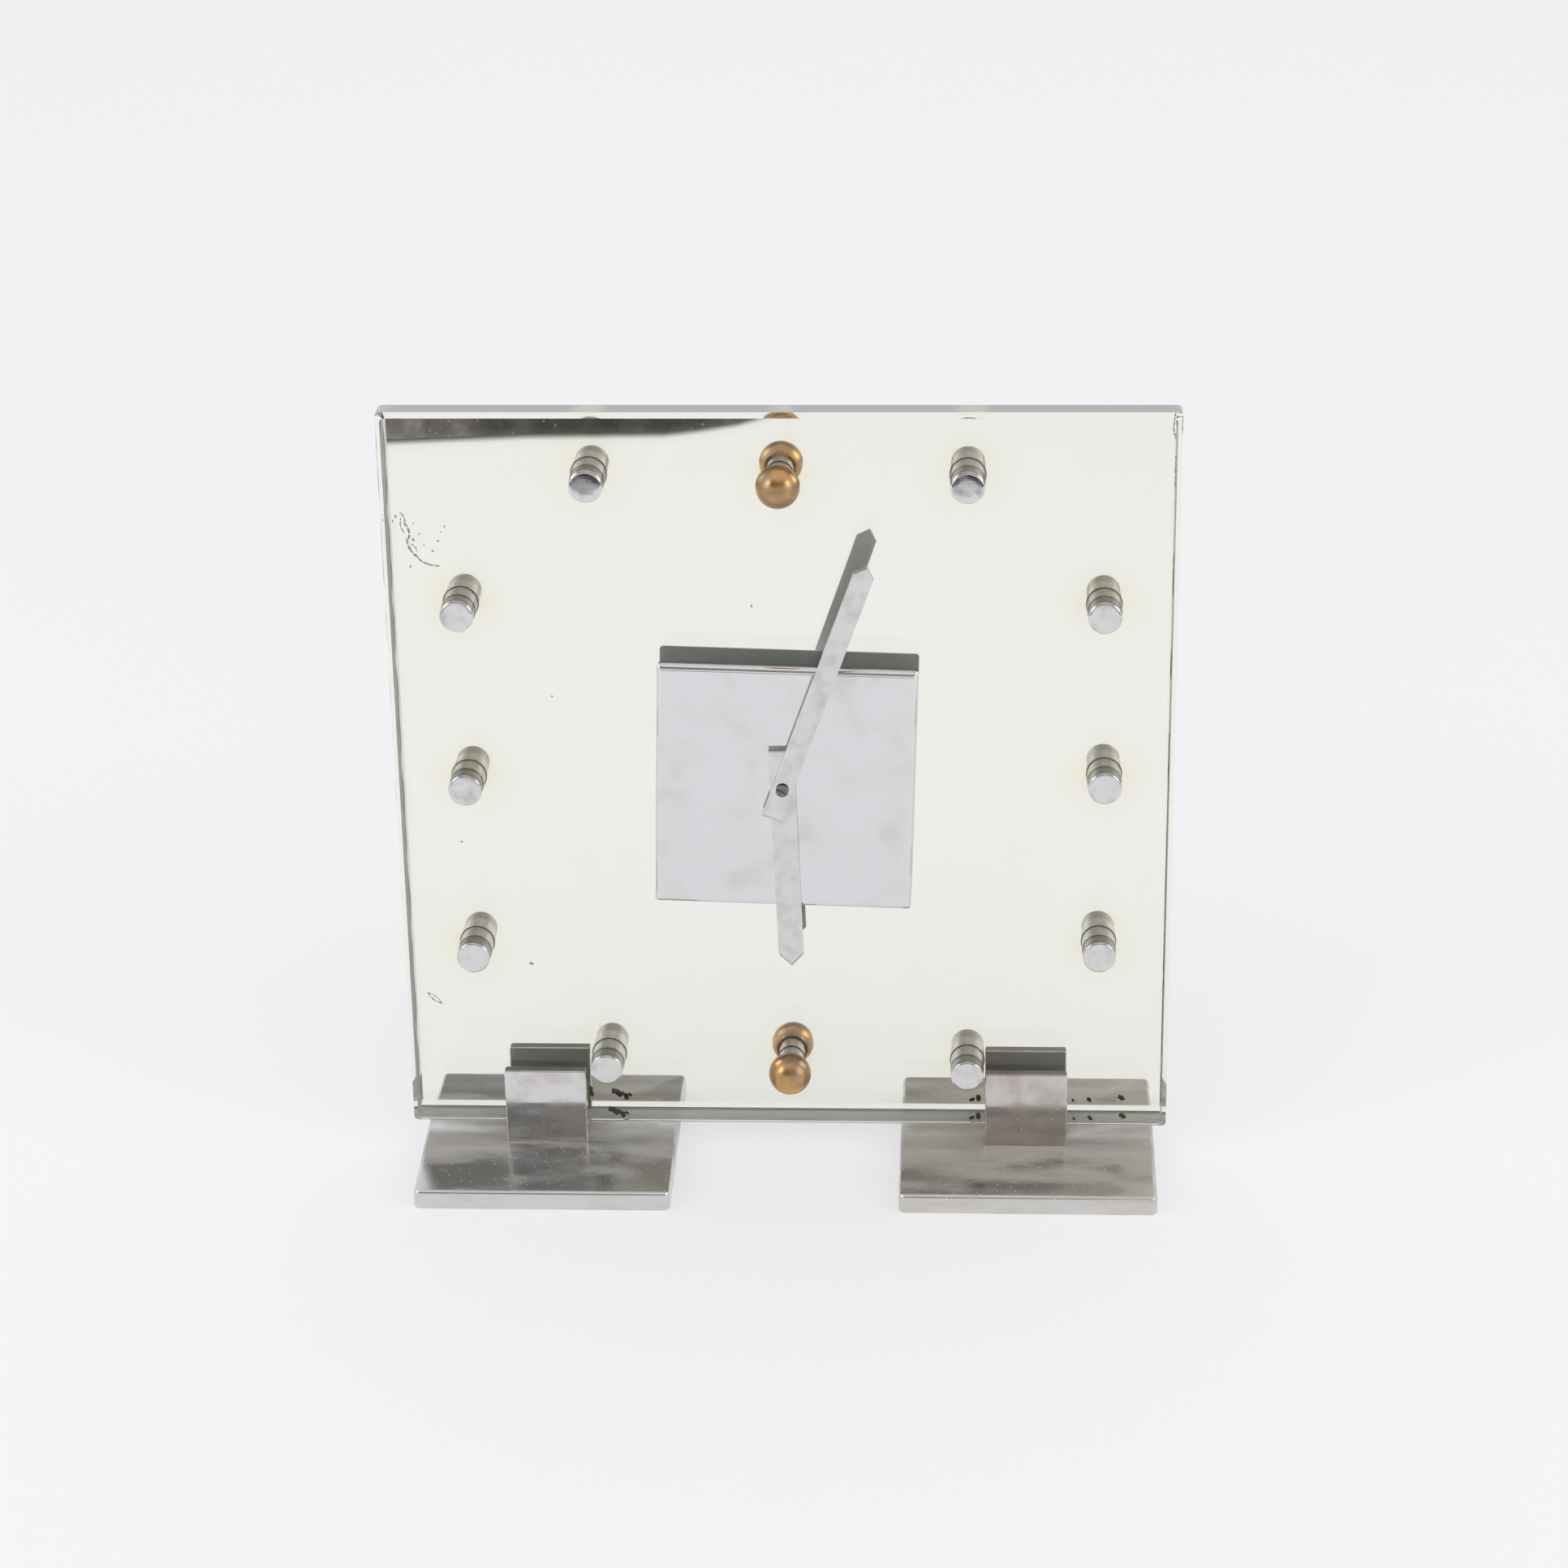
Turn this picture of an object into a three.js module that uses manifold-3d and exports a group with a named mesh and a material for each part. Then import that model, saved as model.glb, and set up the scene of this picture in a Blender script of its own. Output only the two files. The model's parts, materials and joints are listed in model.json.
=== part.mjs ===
// A free-standing mirror clock: a thick silvered glass square held by two slotted clips on
// two foot plates, with pegs and balls as hour marks and a wind-up movement behind it.
// Millimetres, +Z up, front towards -Y. The glass group leans back; inside it the front
// face of the glass is y = 0 and its middle is the origin, with y growing to the back.
import * as THREE from "three";
import { mergeVertices } from "three/addons/utils/BufferGeometryUtils.js";
import Module from "manifold-3d";

const wasm = await Module();
wasm.setup();

// Clearances
const SEAT = 0.3; // between a piece and what it rests on or turns in
const WELD = 1e-4; // points nearer than this are one point

// Glass
const GLASS_WIDTH = 306;
const GLASS_HEIGHT = 303.4;
const GLASS_THICKNESS = 12.7;
const GLASS_ARRIS = 1.9;
const SILVER_THICKNESS = 0.5;
const LEAN = THREE.MathUtils.degToRad(3);

// Hour marks
const DIAL_CENTRE = [0.2, 0.05];
const MARK_MARGIN = 27.1; // from the marks' square path to the nearer edges of the glass
const PEG_RADIUS = 6.5;
const PEG_PROUD = 7.35;
const PEG_BEVEL = 0.5;
const BALL_RADIUS = 8.44;
const BALL_CENTRE = 5.8;
const MARK_HOLE_RADIUS = 7.3;
const TAIL_RADIUS = 3;
const DISC_RADIUS = 9.5;
const DISC_THICKNESS = 3;
const COPPER_HOURS = [6, 12];
// The holes were drilled by hand and lie this far right of and above the true path
const DRILL_DRIFT = {
  3: [1.0, 0.9],
  5: [0.5, -1.0],
  6: [1.2, -0.7],
  7: [-0.9, 0.8],
  8: [0, -2.0],
  9: [0, -1.1],
  11: [-1.1, 0.3],
};

// Middle plate
const PLATE_SIZE = 101.6;
const PLATE_THICKNESS = 2.8;
const PLATE_CORNER = 0.4; // of the flat face, inside the rounding
const PLATE_ROUNDING = 2.2;
const PLATE_SHIFT = [0.8, -1.45]; // of its middle from the hands' axis
const PLATE_TURN = THREE.MathUtils.degToRad(1.8);

// Arbors, pipes and bush at the middle
const ARBOR_RADIUS = 1.5;
const PIPE_WALL = 0.6;
const BUSH_WALL = 0.8;
const NUT_WALL = 1.1;
const NUT_THICKNESS = 1;
const BUSH_HOLE_PLAY = 2;

// Hands
const HAND_THICKNESS = 1.2;
const HAND_BEVEL = 0.35;
const HAND_GAP = 0.4;
const HAND_OVERLAP = 1; // of blade and hub where the hand is bent
const HOUR_WIDTH = 10;
const HOUR_REACH = 77.5;
const HOUR_SHOULDER = 72.2;
const HOUR_TAIL = 16;
const HOUR_ANGLE = THREE.MathUtils.degToRad(178.1);
const HOUR_BEND = THREE.MathUtils.degToRad(-0.8);
const MINUTE_WIDTH = 8.2;
const MINUTE_REACH = 101;
const MINUTE_SHOULDER = 96.9;
const MINUTE_TAIL = 13;
const MINUTE_ANGLE = THREE.MathUtils.degToRad(19.6);
const MINUTE_BEND = THREE.MathUtils.degToRad(3.8);
const BEND_START = 8;
const SCREW_HEAD_RADIUS = 2.5;
const SCREW_HEAD_THICKNESS = 1.1;
const SCREW_SHANK_RADIUS = 0.8;
const SCREW_SHANK_LENGTH = 3.5;
const SLOT_WIDTH = 0.8;
const SLOT_DEPTH = 0.5;
const SLOT_TURN = THREE.MathUtils.degToRad(28);

// Movement: round plates, pillars and the space between them
const MOVEMENT_RADIUS = 42;
const MOVEMENT_PLATE = 1.5;
const MOVEMENT_SPACE = 16.4;
const PILLAR_RADIUS = 3;
const PILLAR_CIRCLE = 37;
const PILLAR_COUNT = 4;
const CASE_WALL = 1.2;
const CASE_GAP = 1;
const CASE_SCREW_RADIUS = 1.2;
const CASE_SCREW_HEAD = 2.6;
const CASE_SCREW_HEAD_THICKNESS = 1.5;
const CASE_SCREW_GRIP = 5;
const CASE_PLAY = 1.3;

// Wheels: teeth, and millimetres of pitch diameter for each tooth
const MOTION_MODULE = 0.5;
const PIPE_MODULE = 0.4;
const GREAT_MODULE = 0.5;
const PINION_TEETH = 12;
const MINUTE_WHEEL_TEETH = 36;
const HOUR_WHEEL_TEETH = 48;
const GREAT_WHEEL_TEETH = 72;
const WHEEL_THICKNESS = 1.2;
const PINION_EXTRA = 0.5;
const WHEEL_STEP = 0.7;
const TOOTH_RISE = 0.7;
const TOOTH_DROP = 1.15;
const TOOTH_TIP = 0.18;
const TOOTH_ROOT = 0.5;
const PIVOT_RADIUS = 0.8;

// Barrel and winding
const BARREL_RADIUS = 16;
const BARREL_DEPTH = 7;
const BARREL_WALL = 1;
const BARREL_ARBOR_RADIUS = 2;
const SPRING_COIL_TURNS = 5;
const SPRING_COIL_STEPS = 16;
const SPRING_STRIP = 0.6;
const KEY_SQUARE = 2.6;
const KEY_HUB_RADIUS = 3.6;
const KEY_HUB_LENGTH = 5;
const KEY_WING_SPAN = 22;
const KEY_WING_HEIGHT = 5;
const KEY_WING_THICKNESS = 2;
const KEY_WING_SUNK = 2; // of the wings' height, into the hub
const KNOB_RADIUS = 6;
const KNOB_THICKNESS = 5;
const KNOB_FLUTES = 16;
const KNOB_FLUTE_DEPTH = 0.35;
const REAR_GAP = 0.8;

// Escapement
const PLATFORM_WIDTH = 28;
const PLATFORM_HEIGHT = 14;
const PLATFORM_THICKNESS = 1.5;
const PLATFORM_DROP = 25;
const BALANCE_RADIUS = 6;
const BALANCE_RIM = 1.2;
const BALANCE_OFFSET = 5;
const BALANCE_ROOM = 1.7; // before and behind the balance
const COCK_WIDTH = 4;

// Feet
const FOOT_WIDTH = 102.6;
const FOOT_DEPTH = 101.6;
const FOOT_THICKNESS = 8;
const FOOT_CORNER = 1.5;
const FOOT_ROUNDING = 1.2;
const FOOT_INSET = 56; // from the side of the glass to the middle of a foot plate
const GLASS_RISE = 5.9;
const GLASS_FORWARD = 0.75;
const CLIP_WIDTH = 33;
const CLIP_LIP = 4.6;
const CLIP_GRIP = 26;
const CLIP_REAR_GRIP = 13.9; // lower than in front, clear of the retaining discs
const CLIP_DRIFT = { left: -0.95, right: -0.6 }; // off the middle of its foot plate
const PAD_THICKNESS = 1;
const PAD_SIDE_GAP = 1;
const CLIP_SCREW_RADIUS = 2;
const CLIP_SCREW_HEAD = 4;
const CLIP_SCREW_GRIP = 2.4;
const CLIP_SCREW_SUNK = 0.5;

// How finely round things are cut
const FINE_STEPS = 24;
const ROUND_STEPS = 20;
const SMALL_STEPS = 12;
const BALL_RINGS = 9;
const ARC_STEPS = 2;

// Places along the depth of the clock, front to back, in the glass group
const SILVER_FRONT = GLASS_THICKNESS + SEAT;
const SILVER_BACK = SILVER_FRONT + SILVER_THICKNESS;
const REST_BACK = SILVER_BACK + SEAT;
const MIDDLE_FRONT = -(SEAT + PLATE_THICKNESS);
const NUT_FRONT = MIDDLE_FRONT - SEAT - NUT_THICKNESS;
const HOUR_HAND_BACK = NUT_FRONT - HAND_GAP;
const HOUR_HAND_FRONT = HOUR_HAND_BACK - HAND_THICKNESS;
const MINUTE_HAND_BACK = HOUR_HAND_FRONT - HAND_GAP;
const MINUTE_HAND_FRONT = MINUTE_HAND_BACK - HAND_THICKNESS;
const INNER_FRONT = REST_BACK + MOVEMENT_PLATE;
const INNER_BACK = INNER_FRONT + MOVEMENT_SPACE;
const BACK_PLATE_BACK = INNER_BACK + MOVEMENT_PLATE;
const CASE_FLOOR = BACK_PLATE_BACK + CASE_PLAY;
const CASE_BACK = CASE_FLOOR + CASE_WALL;
const HOUR_WHEEL_FRONT = INNER_FRONT + WHEEL_STEP;
const MINUTE_WHEEL_FRONT = HOUR_WHEEL_FRONT + WHEEL_THICKNESS + WHEEL_STEP;
const GREAT_WHEEL_FRONT = MINUTE_WHEEL_FRONT + WHEEL_THICKNESS + 2 * WHEEL_STEP;
const KNOB_FRONT = CASE_BACK + REAR_GAP;

// Places that follow the size of the glass
const DIAL_HALF = Math.min(GLASS_WIDTH, GLASS_HEIGHT) / 2 - MARK_MARGIN;
const FOOT_OFFSET = GLASS_WIDTH / 2 - FOOT_INSET;
const CLIP_OFFSETS = { left: CLIP_DRIFT.left - FOOT_OFFSET, right: CLIP_DRIFT.right + FOOT_OFFSET };

// Radii that nest round the centre arbor
const PIPE_BORE = ARBOR_RADIUS + SEAT;
const PIPE_RADIUS = PIPE_BORE + PIPE_WALL;
const BUSH_BORE = PIPE_RADIUS + SEAT;
const BUSH_RADIUS = BUSH_BORE + BUSH_WALL;
const NUT_BORE = BUSH_RADIUS + SEAT;

// Holes that the case screws pass
const SCREW_BORE = CASE_SCREW_RADIUS + SEAT;

// Distances between arbors that the meshing wheels set
const MINUTE_WHEEL_REACH = (MOTION_MODULE * (PINION_TEETH + MINUTE_WHEEL_TEETH)) / 2;
const BARREL_REACH = (GREAT_MODULE * (PINION_TEETH + GREAT_WHEEL_TEETH)) / 2;
const CASE_RADIUS = MOVEMENT_RADIUS + CASE_GAP + CASE_WALL;

const FINISHES = {
  chrome: { color: 0xd2d2d6, roughness: 0.12, metalness: 1 },
  wornChrome: { color: 0xb4b0ac, roughness: 0.24, metalness: 1 },
  copper: { color: 0xb5764a, roughness: 0.28, metalness: 1 },
  brass: { color: 0xb99a55, roughness: 0.35, metalness: 1 },
  steel: { color: 0x8c8f92, roughness: 0.38, metalness: 1 },
  dullSteel: { color: 0x5f625e, roughness: 0.45, metalness: 1 },
  glass: { color: 0xe6efe6, roughness: 0.03, metalness: 0, transparent: true, opacity: 0.35 },
  silver: { color: 0xeaebe4, roughness: 0.04, metalness: 1 },
  paint: { color: 0x2c2c2e, roughness: 0.5, metalness: 0.2 },
  fibre: { color: 0x3b2f28, roughness: 0.85, metalness: 0 },
};

/** A closed copy of a geometry that keeps only places, with equal points merged. */
function closed(geometry) {
  const bare = geometry.clone();
  bare.deleteAttribute("normal");
  bare.deleteAttribute("uv");
  const merged = mergeVertices(bare, WELD);
  const corners = merged.index.array;
  const kept = [];
  for (let i = 0; i < corners.length; i += 3) {
    const [a, b, c] = [corners[i], corners[i + 1], corners[i + 2]];
    if (a !== b && b !== c && c !== a) kept.push(a, b, c);
  }
  merged.setIndex(kept);
  return merged;
}

/** The solid that a closed geometry bounds. */
function solidOf(geometry) {
  const { attributes, index } = closed(geometry);
  const vertProperties = new Float32Array(attributes.position.array);
  const triVerts = new Uint32Array(index.array);
  return new wasm.Manifold(new wasm.Mesh({ numProp: 3, vertProperties, triVerts }));
}

/** The geometry of a solid. */
function geometryOf(solid) {
  const mesh = solid.getMesh();
  const geometry = new THREE.BufferGeometry();
  geometry.setAttribute("position", new THREE.BufferAttribute(mesh.vertProperties, 3));
  geometry.setIndex(new THREE.BufferAttribute(mesh.triVerts, 1));
  geometry.computeVertexNormals();
  return geometry;
}

/** One geometry made of a first piece, others joined to it and others cut from it. */
function build(first, { join = [], cut = [] } = {}) {
  let solid = solidOf(first);
  for (const piece of join) solid = solid.add(solidOf(piece));
  for (const piece of cut) solid = solid.subtract(solidOf(piece));
  return geometryOf(solid);
}

/** A named mesh of one finish. */
function part(name, geometry, finish) {
  const mesh = new THREE.Mesh(geometry, new THREE.MeshStandardMaterial(FINISHES[finish]));
  mesh.name = name;
  return mesh;
}

/** A body turned about the depth axis from [radius, depth] points, front to back. */
function turned(points, steps = ROUND_STEPS, [x, z] = [0, 0]) {
  const profile = points.map(([radius, depth]) => new THREE.Vector2(radius, depth));
  return new THREE.LatheGeometry(profile, steps).translate(x, 0, z);
}

/** A round rod or hole between two depths. */
function rod(radius, front, back, place = [0, 0], steps = ROUND_STEPS) {
  return turned([[0, front], [radius, front], [radius, back], [0, back]], steps, place);
}

/** A ring between two radii and two depths. */
function ring(inner, outer, front, back, place = [0, 0], steps = ROUND_STEPS) {
  const corners = [[inner, front], [outer, front], [outer, back], [inner, back], [inner, front]];
  return turned(corners, steps, place);
}

/** An upright outline, x right and z up, made as thick as two depths are apart. */
function slab(shape, front, back, bevel = 0) {
  const depth = back - front - 2 * bevel;
  const geometry = new THREE.ExtrudeGeometry(shape, {
    depth,
    bevelEnabled: bevel > 0,
    bevelThickness: bevel,
    bevelSize: bevel,
    bevelOffset: -bevel,
    bevelSegments: 1,
    curveSegments: ARC_STEPS,
  });
  return geometry.rotateX(Math.PI / 2).translate(0, back - bevel, 0);
}

/** A box between two corners. */
function block([x0, y0, z0], [x1, y1, z1]) {
  const box = new THREE.BoxGeometry(x1 - x0, y1 - y0, z1 - z0);
  return box.translate((x0 + x1) / 2, (y0 + y1) / 2, (z0 + z1) / 2);
}

/** An outline through corner points. */
function outline(points) {
  return new THREE.Shape(points.map(([x, z]) => new THREE.Vector2(x, z)));
}

/** A rectangle about the origin with round corners. */
function roundedRectangle(width, height, radius) {
  const [x, z] = [width / 2 - radius, height / 2 - radius];
  const shape = new THREE.Shape();
  shape.absarc(x, z, radius, 0, Math.PI / 2);
  shape.absarc(-x, z, radius, Math.PI / 2, Math.PI);
  shape.absarc(-x, -z, radius, Math.PI, 1.5 * Math.PI);
  shape.absarc(x, -z, radius, 1.5 * Math.PI, 2 * Math.PI);
  return shape;
}

/** Place of a point at a radius and a clockwise angle from 12 o'clock. */
function clockPoint(radius, angle, [x, z] = [0, 0]) {
  return [x + radius * Math.sin(angle), z + radius * Math.cos(angle)];
}

/** Where an hour's hole is drilled: on the square path, plus its drift. */
function markPlace(hour) {
  const angle = (hour * Math.PI) / 6;
  const reach = DIAL_HALF / Math.max(Math.abs(Math.sin(angle)), Math.abs(Math.cos(angle)));
  const [x, z] = clockPoint(reach, angle, DIAL_CENTRE);
  const [right, up] = DRILL_DRIFT[hour] ?? [0, 0];
  return [x + right, z + up];
}

const HOURS = Array.from({ length: 12 }, (_, i) => i + 1);

/** The glass, arrised all round, with a hole for each mark and one for the bush. */
function mirrorGlass() {
  const plate = slab(
    outline([
      [-GLASS_WIDTH / 2, -GLASS_HEIGHT / 2],
      [GLASS_WIDTH / 2, -GLASS_HEIGHT / 2],
      [GLASS_WIDTH / 2, GLASS_HEIGHT / 2],
      [-GLASS_WIDTH / 2, GLASS_HEIGHT / 2],
    ]),
    0,
    GLASS_THICKNESS,
    GLASS_ARRIS,
  );
  const holes = markHoles(MARK_HOLE_RADIUS, -1, GLASS_THICKNESS + 1);
  return part("mirror_glass", build(plate, { cut: holes }), "glass");
}

/** Cutters for the twelve mark holes and the bush hole. */
function markHoles(radius, front, back) {
  const marks = HOURS.map((hour) => rod(radius, front, back, markPlace(hour)));
  return [...marks, rod(BUSH_RADIUS + BUSH_HOLE_PLAY, front, back, DIAL_CENTRE)];
}

/** The silver and its paint, one thin sheet a little inside the edge of the glass. */
function silverBacking() {
  const [x, z] = [GLASS_WIDTH / 2 - GLASS_ARRIS, GLASS_HEIGHT / 2 - GLASS_ARRIS];
  const sheet = block([-x, SILVER_FRONT, -z], [x, SILVER_BACK, z]);
  const holes = markHoles(MARK_HOLE_RADIUS, SILVER_FRONT - 1, SILVER_BACK + 1);
  return part("silver_backing", build(sheet, { cut: holes }), "silver");
}

/** The threaded tail that every mark has behind the glass. */
function tailProfile() {
  const end = REST_BACK + DISC_THICKNESS + SEAT;
  return [[PEG_RADIUS, GLASS_THICKNESS], [TAIL_RADIUS, GLASS_THICKNESS], [TAIL_RADIUS, end], [0, end]];
}

/** A round peg that stands proud of the glass. */
function hourPeg(hour) {
  const face = [
    [0, -PEG_PROUD],
    [PEG_RADIUS - PEG_BEVEL, -PEG_PROUD],
    [PEG_RADIUS, -PEG_PROUD + PEG_BEVEL],
  ];
  const profile = [...face, ...tailProfile()];
  return part(`hour_peg_${hour}`, turned(profile, FINE_STEPS, markPlace(hour)), "chrome");
}

/** A ball on a rod: the ball's arc runs from its front to where it meets the rod. */
function hourBall(hour) {
  const meet = Math.PI - Math.asin(PEG_RADIUS / BALL_RADIUS);
  const arc = Array.from({ length: BALL_RINGS + 1 }, (_, i) => {
    const turn = (meet * i) / BALL_RINGS;
    return [BALL_RADIUS * Math.sin(turn), -BALL_CENTRE - BALL_RADIUS * Math.cos(turn)];
  });
  const profile = [...arc, ...tailProfile()];
  return part(`hour_ball_${hour}`, turned(profile, FINE_STEPS, markPlace(hour)), "copper");
}

/** The disc that holds a mark from behind. */
function retainingDisc(hour) {
  const back = REST_BACK + DISC_THICKNESS;
  const disc = ring(TAIL_RADIUS + SEAT, DISC_RADIUS, REST_BACK, back, markPlace(hour), SMALL_STEPS);
  return part(`retaining_disc_${hour}`, disc, "dullSteel");
}

/** The square chrome plate, rounded at its front edges and turned a little on the bush. */
function middlePlate() {
  const shape = roundedRectangle(PLATE_SIZE, PLATE_SIZE, PLATE_CORNER + PLATE_ROUNDING);
  const sheet = new THREE.ExtrudeGeometry(shape, {
    depth: PLATE_THICKNESS - PLATE_ROUNDING,
    bevelThickness: PLATE_ROUNDING,
    bevelSize: PLATE_ROUNDING,
    bevelOffset: -PLATE_ROUNDING,
    bevelSegments: ARC_STEPS,
    curveSegments: ARC_STEPS,
  });
  sheet.rotateX(Math.PI / 2).rotateY(PLATE_TURN);
  sheet.translate(PLATE_SHIFT[0], -SEAT, PLATE_SHIFT[1]);
  const behind = block(
    [-PLATE_SIZE, -SEAT, -PLATE_SIZE],
    [PLATE_SIZE, -SEAT + 2 * PLATE_ROUNDING, PLATE_SIZE],
  );
  const hole = rod(NUT_BORE, MIDDLE_FRONT - 1, 0);
  return part("middle_plate", build(sheet, { cut: [behind, hole] }), "chrome");
}

/** The ring nut that clamps the middle plate. */
function plateNut() {
  const nut = ring(NUT_BORE, NUT_BORE + NUT_WALL, NUT_FRONT, MIDDLE_FRONT - SEAT);
  return part("plate_nut", nut, "steel");
}

/** The outline of a hand from one radius to another, pointed where it ends in a tip. */
function handOutline(width, from, shoulder, tip) {
  const half = width / 2;
  return outline([[-half, from], [half, from], [half, shoulder], [0, tip], [-half, shoulder]]);
}

/** A bar hand with a square tail: flat at the hub, then bent towards the front. */
function hand(name, sizes) {
  const { width, tail, shoulder, reach, angle, bend, back, hole } = sizes;
  const front = back - HAND_THICKNESS;
  const hubShape = outline([
    [-width / 2, -tail],
    [width / 2, -tail],
    [width / 2, BEND_START],
    [-width / 2, BEND_START],
  ]);
  const bladeShape = handOutline(width, -HAND_OVERLAP, shoulder - BEND_START, reach - BEND_START);
  const blade = slab(bladeShape, front, back, HAND_BEVEL);
  blade.translate(0, -back, 0).rotateX(bend).translate(0, back, BEND_START);
  const hub = slab(hubShape, front, back, HAND_BEVEL);
  const geometry = build(hub, { join: [blade], cut: [rod(hole, front - 1, back + 1)] });
  const mesh = part(name, geometry, "chrome");
  const group = new THREE.Group().add(mesh);
  group.rotation.y = angle;
  return group;
}

/** The hour hand, on the pipe of the hour wheel. */
function hourHand() {
  return hand("hour_hand", {
    width: HOUR_WIDTH,
    tail: HOUR_TAIL,
    shoulder: HOUR_SHOULDER,
    reach: HOUR_REACH,
    angle: HOUR_ANGLE,
    bend: HOUR_BEND,
    back: HOUR_HAND_BACK,
    hole: PIPE_RADIUS + SEAT,
  });
}

/** The minute hand, on the centre arbor. */
function minuteHand() {
  return hand("minute_hand", {
    width: MINUTE_WIDTH,
    tail: MINUTE_TAIL,
    shoulder: MINUTE_SHOULDER,
    reach: MINUTE_REACH,
    angle: MINUTE_ANGLE,
    bend: MINUTE_BEND,
    back: MINUTE_HAND_BACK,
    hole: ARBOR_RADIUS + SEAT,
  });
}

/** The slotted screw in the end of the centre arbor. */
function handScrew() {
  const back = MINUTE_HAND_FRONT - SEAT;
  const front = back - SCREW_HEAD_THICKNESS;
  const tip = back + SCREW_SHANK_LENGTH;
  const screw = turned([
    [0, front],
    [SCREW_HEAD_RADIUS, front],
    [SCREW_HEAD_RADIUS, back],
    [SCREW_SHANK_RADIUS, back],
    [SCREW_SHANK_RADIUS, tip],
    [0, tip],
  ]);
  const slot = block(
    [-SCREW_HEAD_RADIUS - 1, front - 1, -SLOT_WIDTH / 2],
    [SCREW_HEAD_RADIUS + 1, front + SLOT_DEPTH, SLOT_WIDTH / 2],
  ).rotateY(SLOT_TURN);
  return part("hand_screw", build(screw, { cut: [slot] }), "dullSteel");
}

/** The outline of a wheel with straight-sided teeth, its first tooth at an angle. */
function wheelOutline(teeth, module, phase) {
  const pitch = (2 * Math.PI) / teeth;
  const tip = (module * teeth) / 2 + TOOTH_RISE * module;
  const root = (module * teeth) / 2 - TOOTH_DROP * module;
  const points = [];
  for (let tooth = 0; tooth < teeth; tooth += 1) {
    const middle = phase - tooth * pitch;
    points.push(
      clockPoint(root, middle + (TOOTH_ROOT * pitch) / 2),
      clockPoint(tip, middle + (TOOTH_TIP * pitch) / 2),
      clockPoint(tip, middle - (TOOTH_TIP * pitch) / 2),
      clockPoint(root, middle - (TOOTH_ROOT * pitch) / 2),
    );
  }
  return outline(points);
}

/** A toothed wheel between two depths, centred at a place. */
function wheel(teeth, module, phase, front, back, [x, z] = [0, 0]) {
  return slab(wheelOutline(teeth, module, phase), front, back).translate(x, 0, z);
}

/** Half a tooth's pitch, which puts a gap where a tooth would be. */
function halfPitch(teeth) {
  return Math.PI / teeth;
}

const MINUTE_WHEEL_PLACE = [MINUTE_WHEEL_REACH, 0];
const BARREL_PLACE = [0, BARREL_REACH];

/** The centre arbor with the cannon pinion, the centre pinion and a tapped front end. */
function centreArbor() {
  const front = MINUTE_HAND_FRONT + SEAT / 2;
  const back = KNOB_FRONT + KNOB_THICKNESS - SEAT;
  const tapped = rod(SCREW_SHANK_RADIUS + SEAT / 2, front - 1, front + SCREW_SHANK_LENGTH + SEAT);
  const cannon = wheel(
    PINION_TEETH,
    MOTION_MODULE,
    0,
    MINUTE_WHEEL_FRONT - PINION_EXTRA / 2,
    MINUTE_WHEEL_FRONT + WHEEL_THICKNESS + PINION_EXTRA / 2,
  );
  const pinion = wheel(
    PINION_TEETH,
    GREAT_MODULE,
    0,
    GREAT_WHEEL_FRONT - PINION_EXTRA,
    GREAT_WHEEL_FRONT + WHEEL_THICKNESS + PINION_EXTRA,
  );
  const arbor = rod(ARBOR_RADIUS, front, back);
  return part("centre_arbor", build(arbor, { join: [cannon, pinion], cut: [tapped] }), "steel");
}

/** The hour wheel with the pipe that carries the hour hand. */
function hourWheel() {
  const back = HOUR_WHEEL_FRONT + WHEEL_THICKNESS;
  const disc = wheel(HOUR_WHEEL_TEETH, PIPE_MODULE, halfPitch(HOUR_WHEEL_TEETH), HOUR_WHEEL_FRONT, back);
  const pipe = rod(PIPE_RADIUS, HOUR_HAND_FRONT, back);
  const bore = rod(PIPE_BORE, HOUR_HAND_FRONT - 1, back + 1);
  return part("hour_wheel", build(disc, { join: [pipe], cut: [bore] }), "brass");
}

/** The minute wheel and its pinion on one arbor between the plates. */
function minuteWheel() {
  const phase = halfPitch(MINUTE_WHEEL_TEETH);
  const disc = wheel(
    MINUTE_WHEEL_TEETH,
    MOTION_MODULE,
    phase,
    MINUTE_WHEEL_FRONT,
    MINUTE_WHEEL_FRONT + WHEEL_THICKNESS,
    MINUTE_WHEEL_PLACE,
  );
  const pinion = wheel(
    PINION_TEETH,
    PIPE_MODULE,
    0,
    HOUR_WHEEL_FRONT - PINION_EXTRA / 2,
    MINUTE_WHEEL_FRONT,
    MINUTE_WHEEL_PLACE,
  );
  const arbor = rod(PIVOT_RADIUS, REST_BACK + SEAT, BACK_PLATE_BACK - SEAT, MINUTE_WHEEL_PLACE);
  return part("minute_wheel", build(disc, { join: [pinion, arbor] }), "brass");
}

/** The places of the pillars, and of the screws that go into them from behind. */
function pillarPlace(index) {
  return clockPoint(PILLAR_CIRCLE, ((index + 0.5) * 2 * Math.PI) / PILLAR_COUNT);
}

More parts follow.
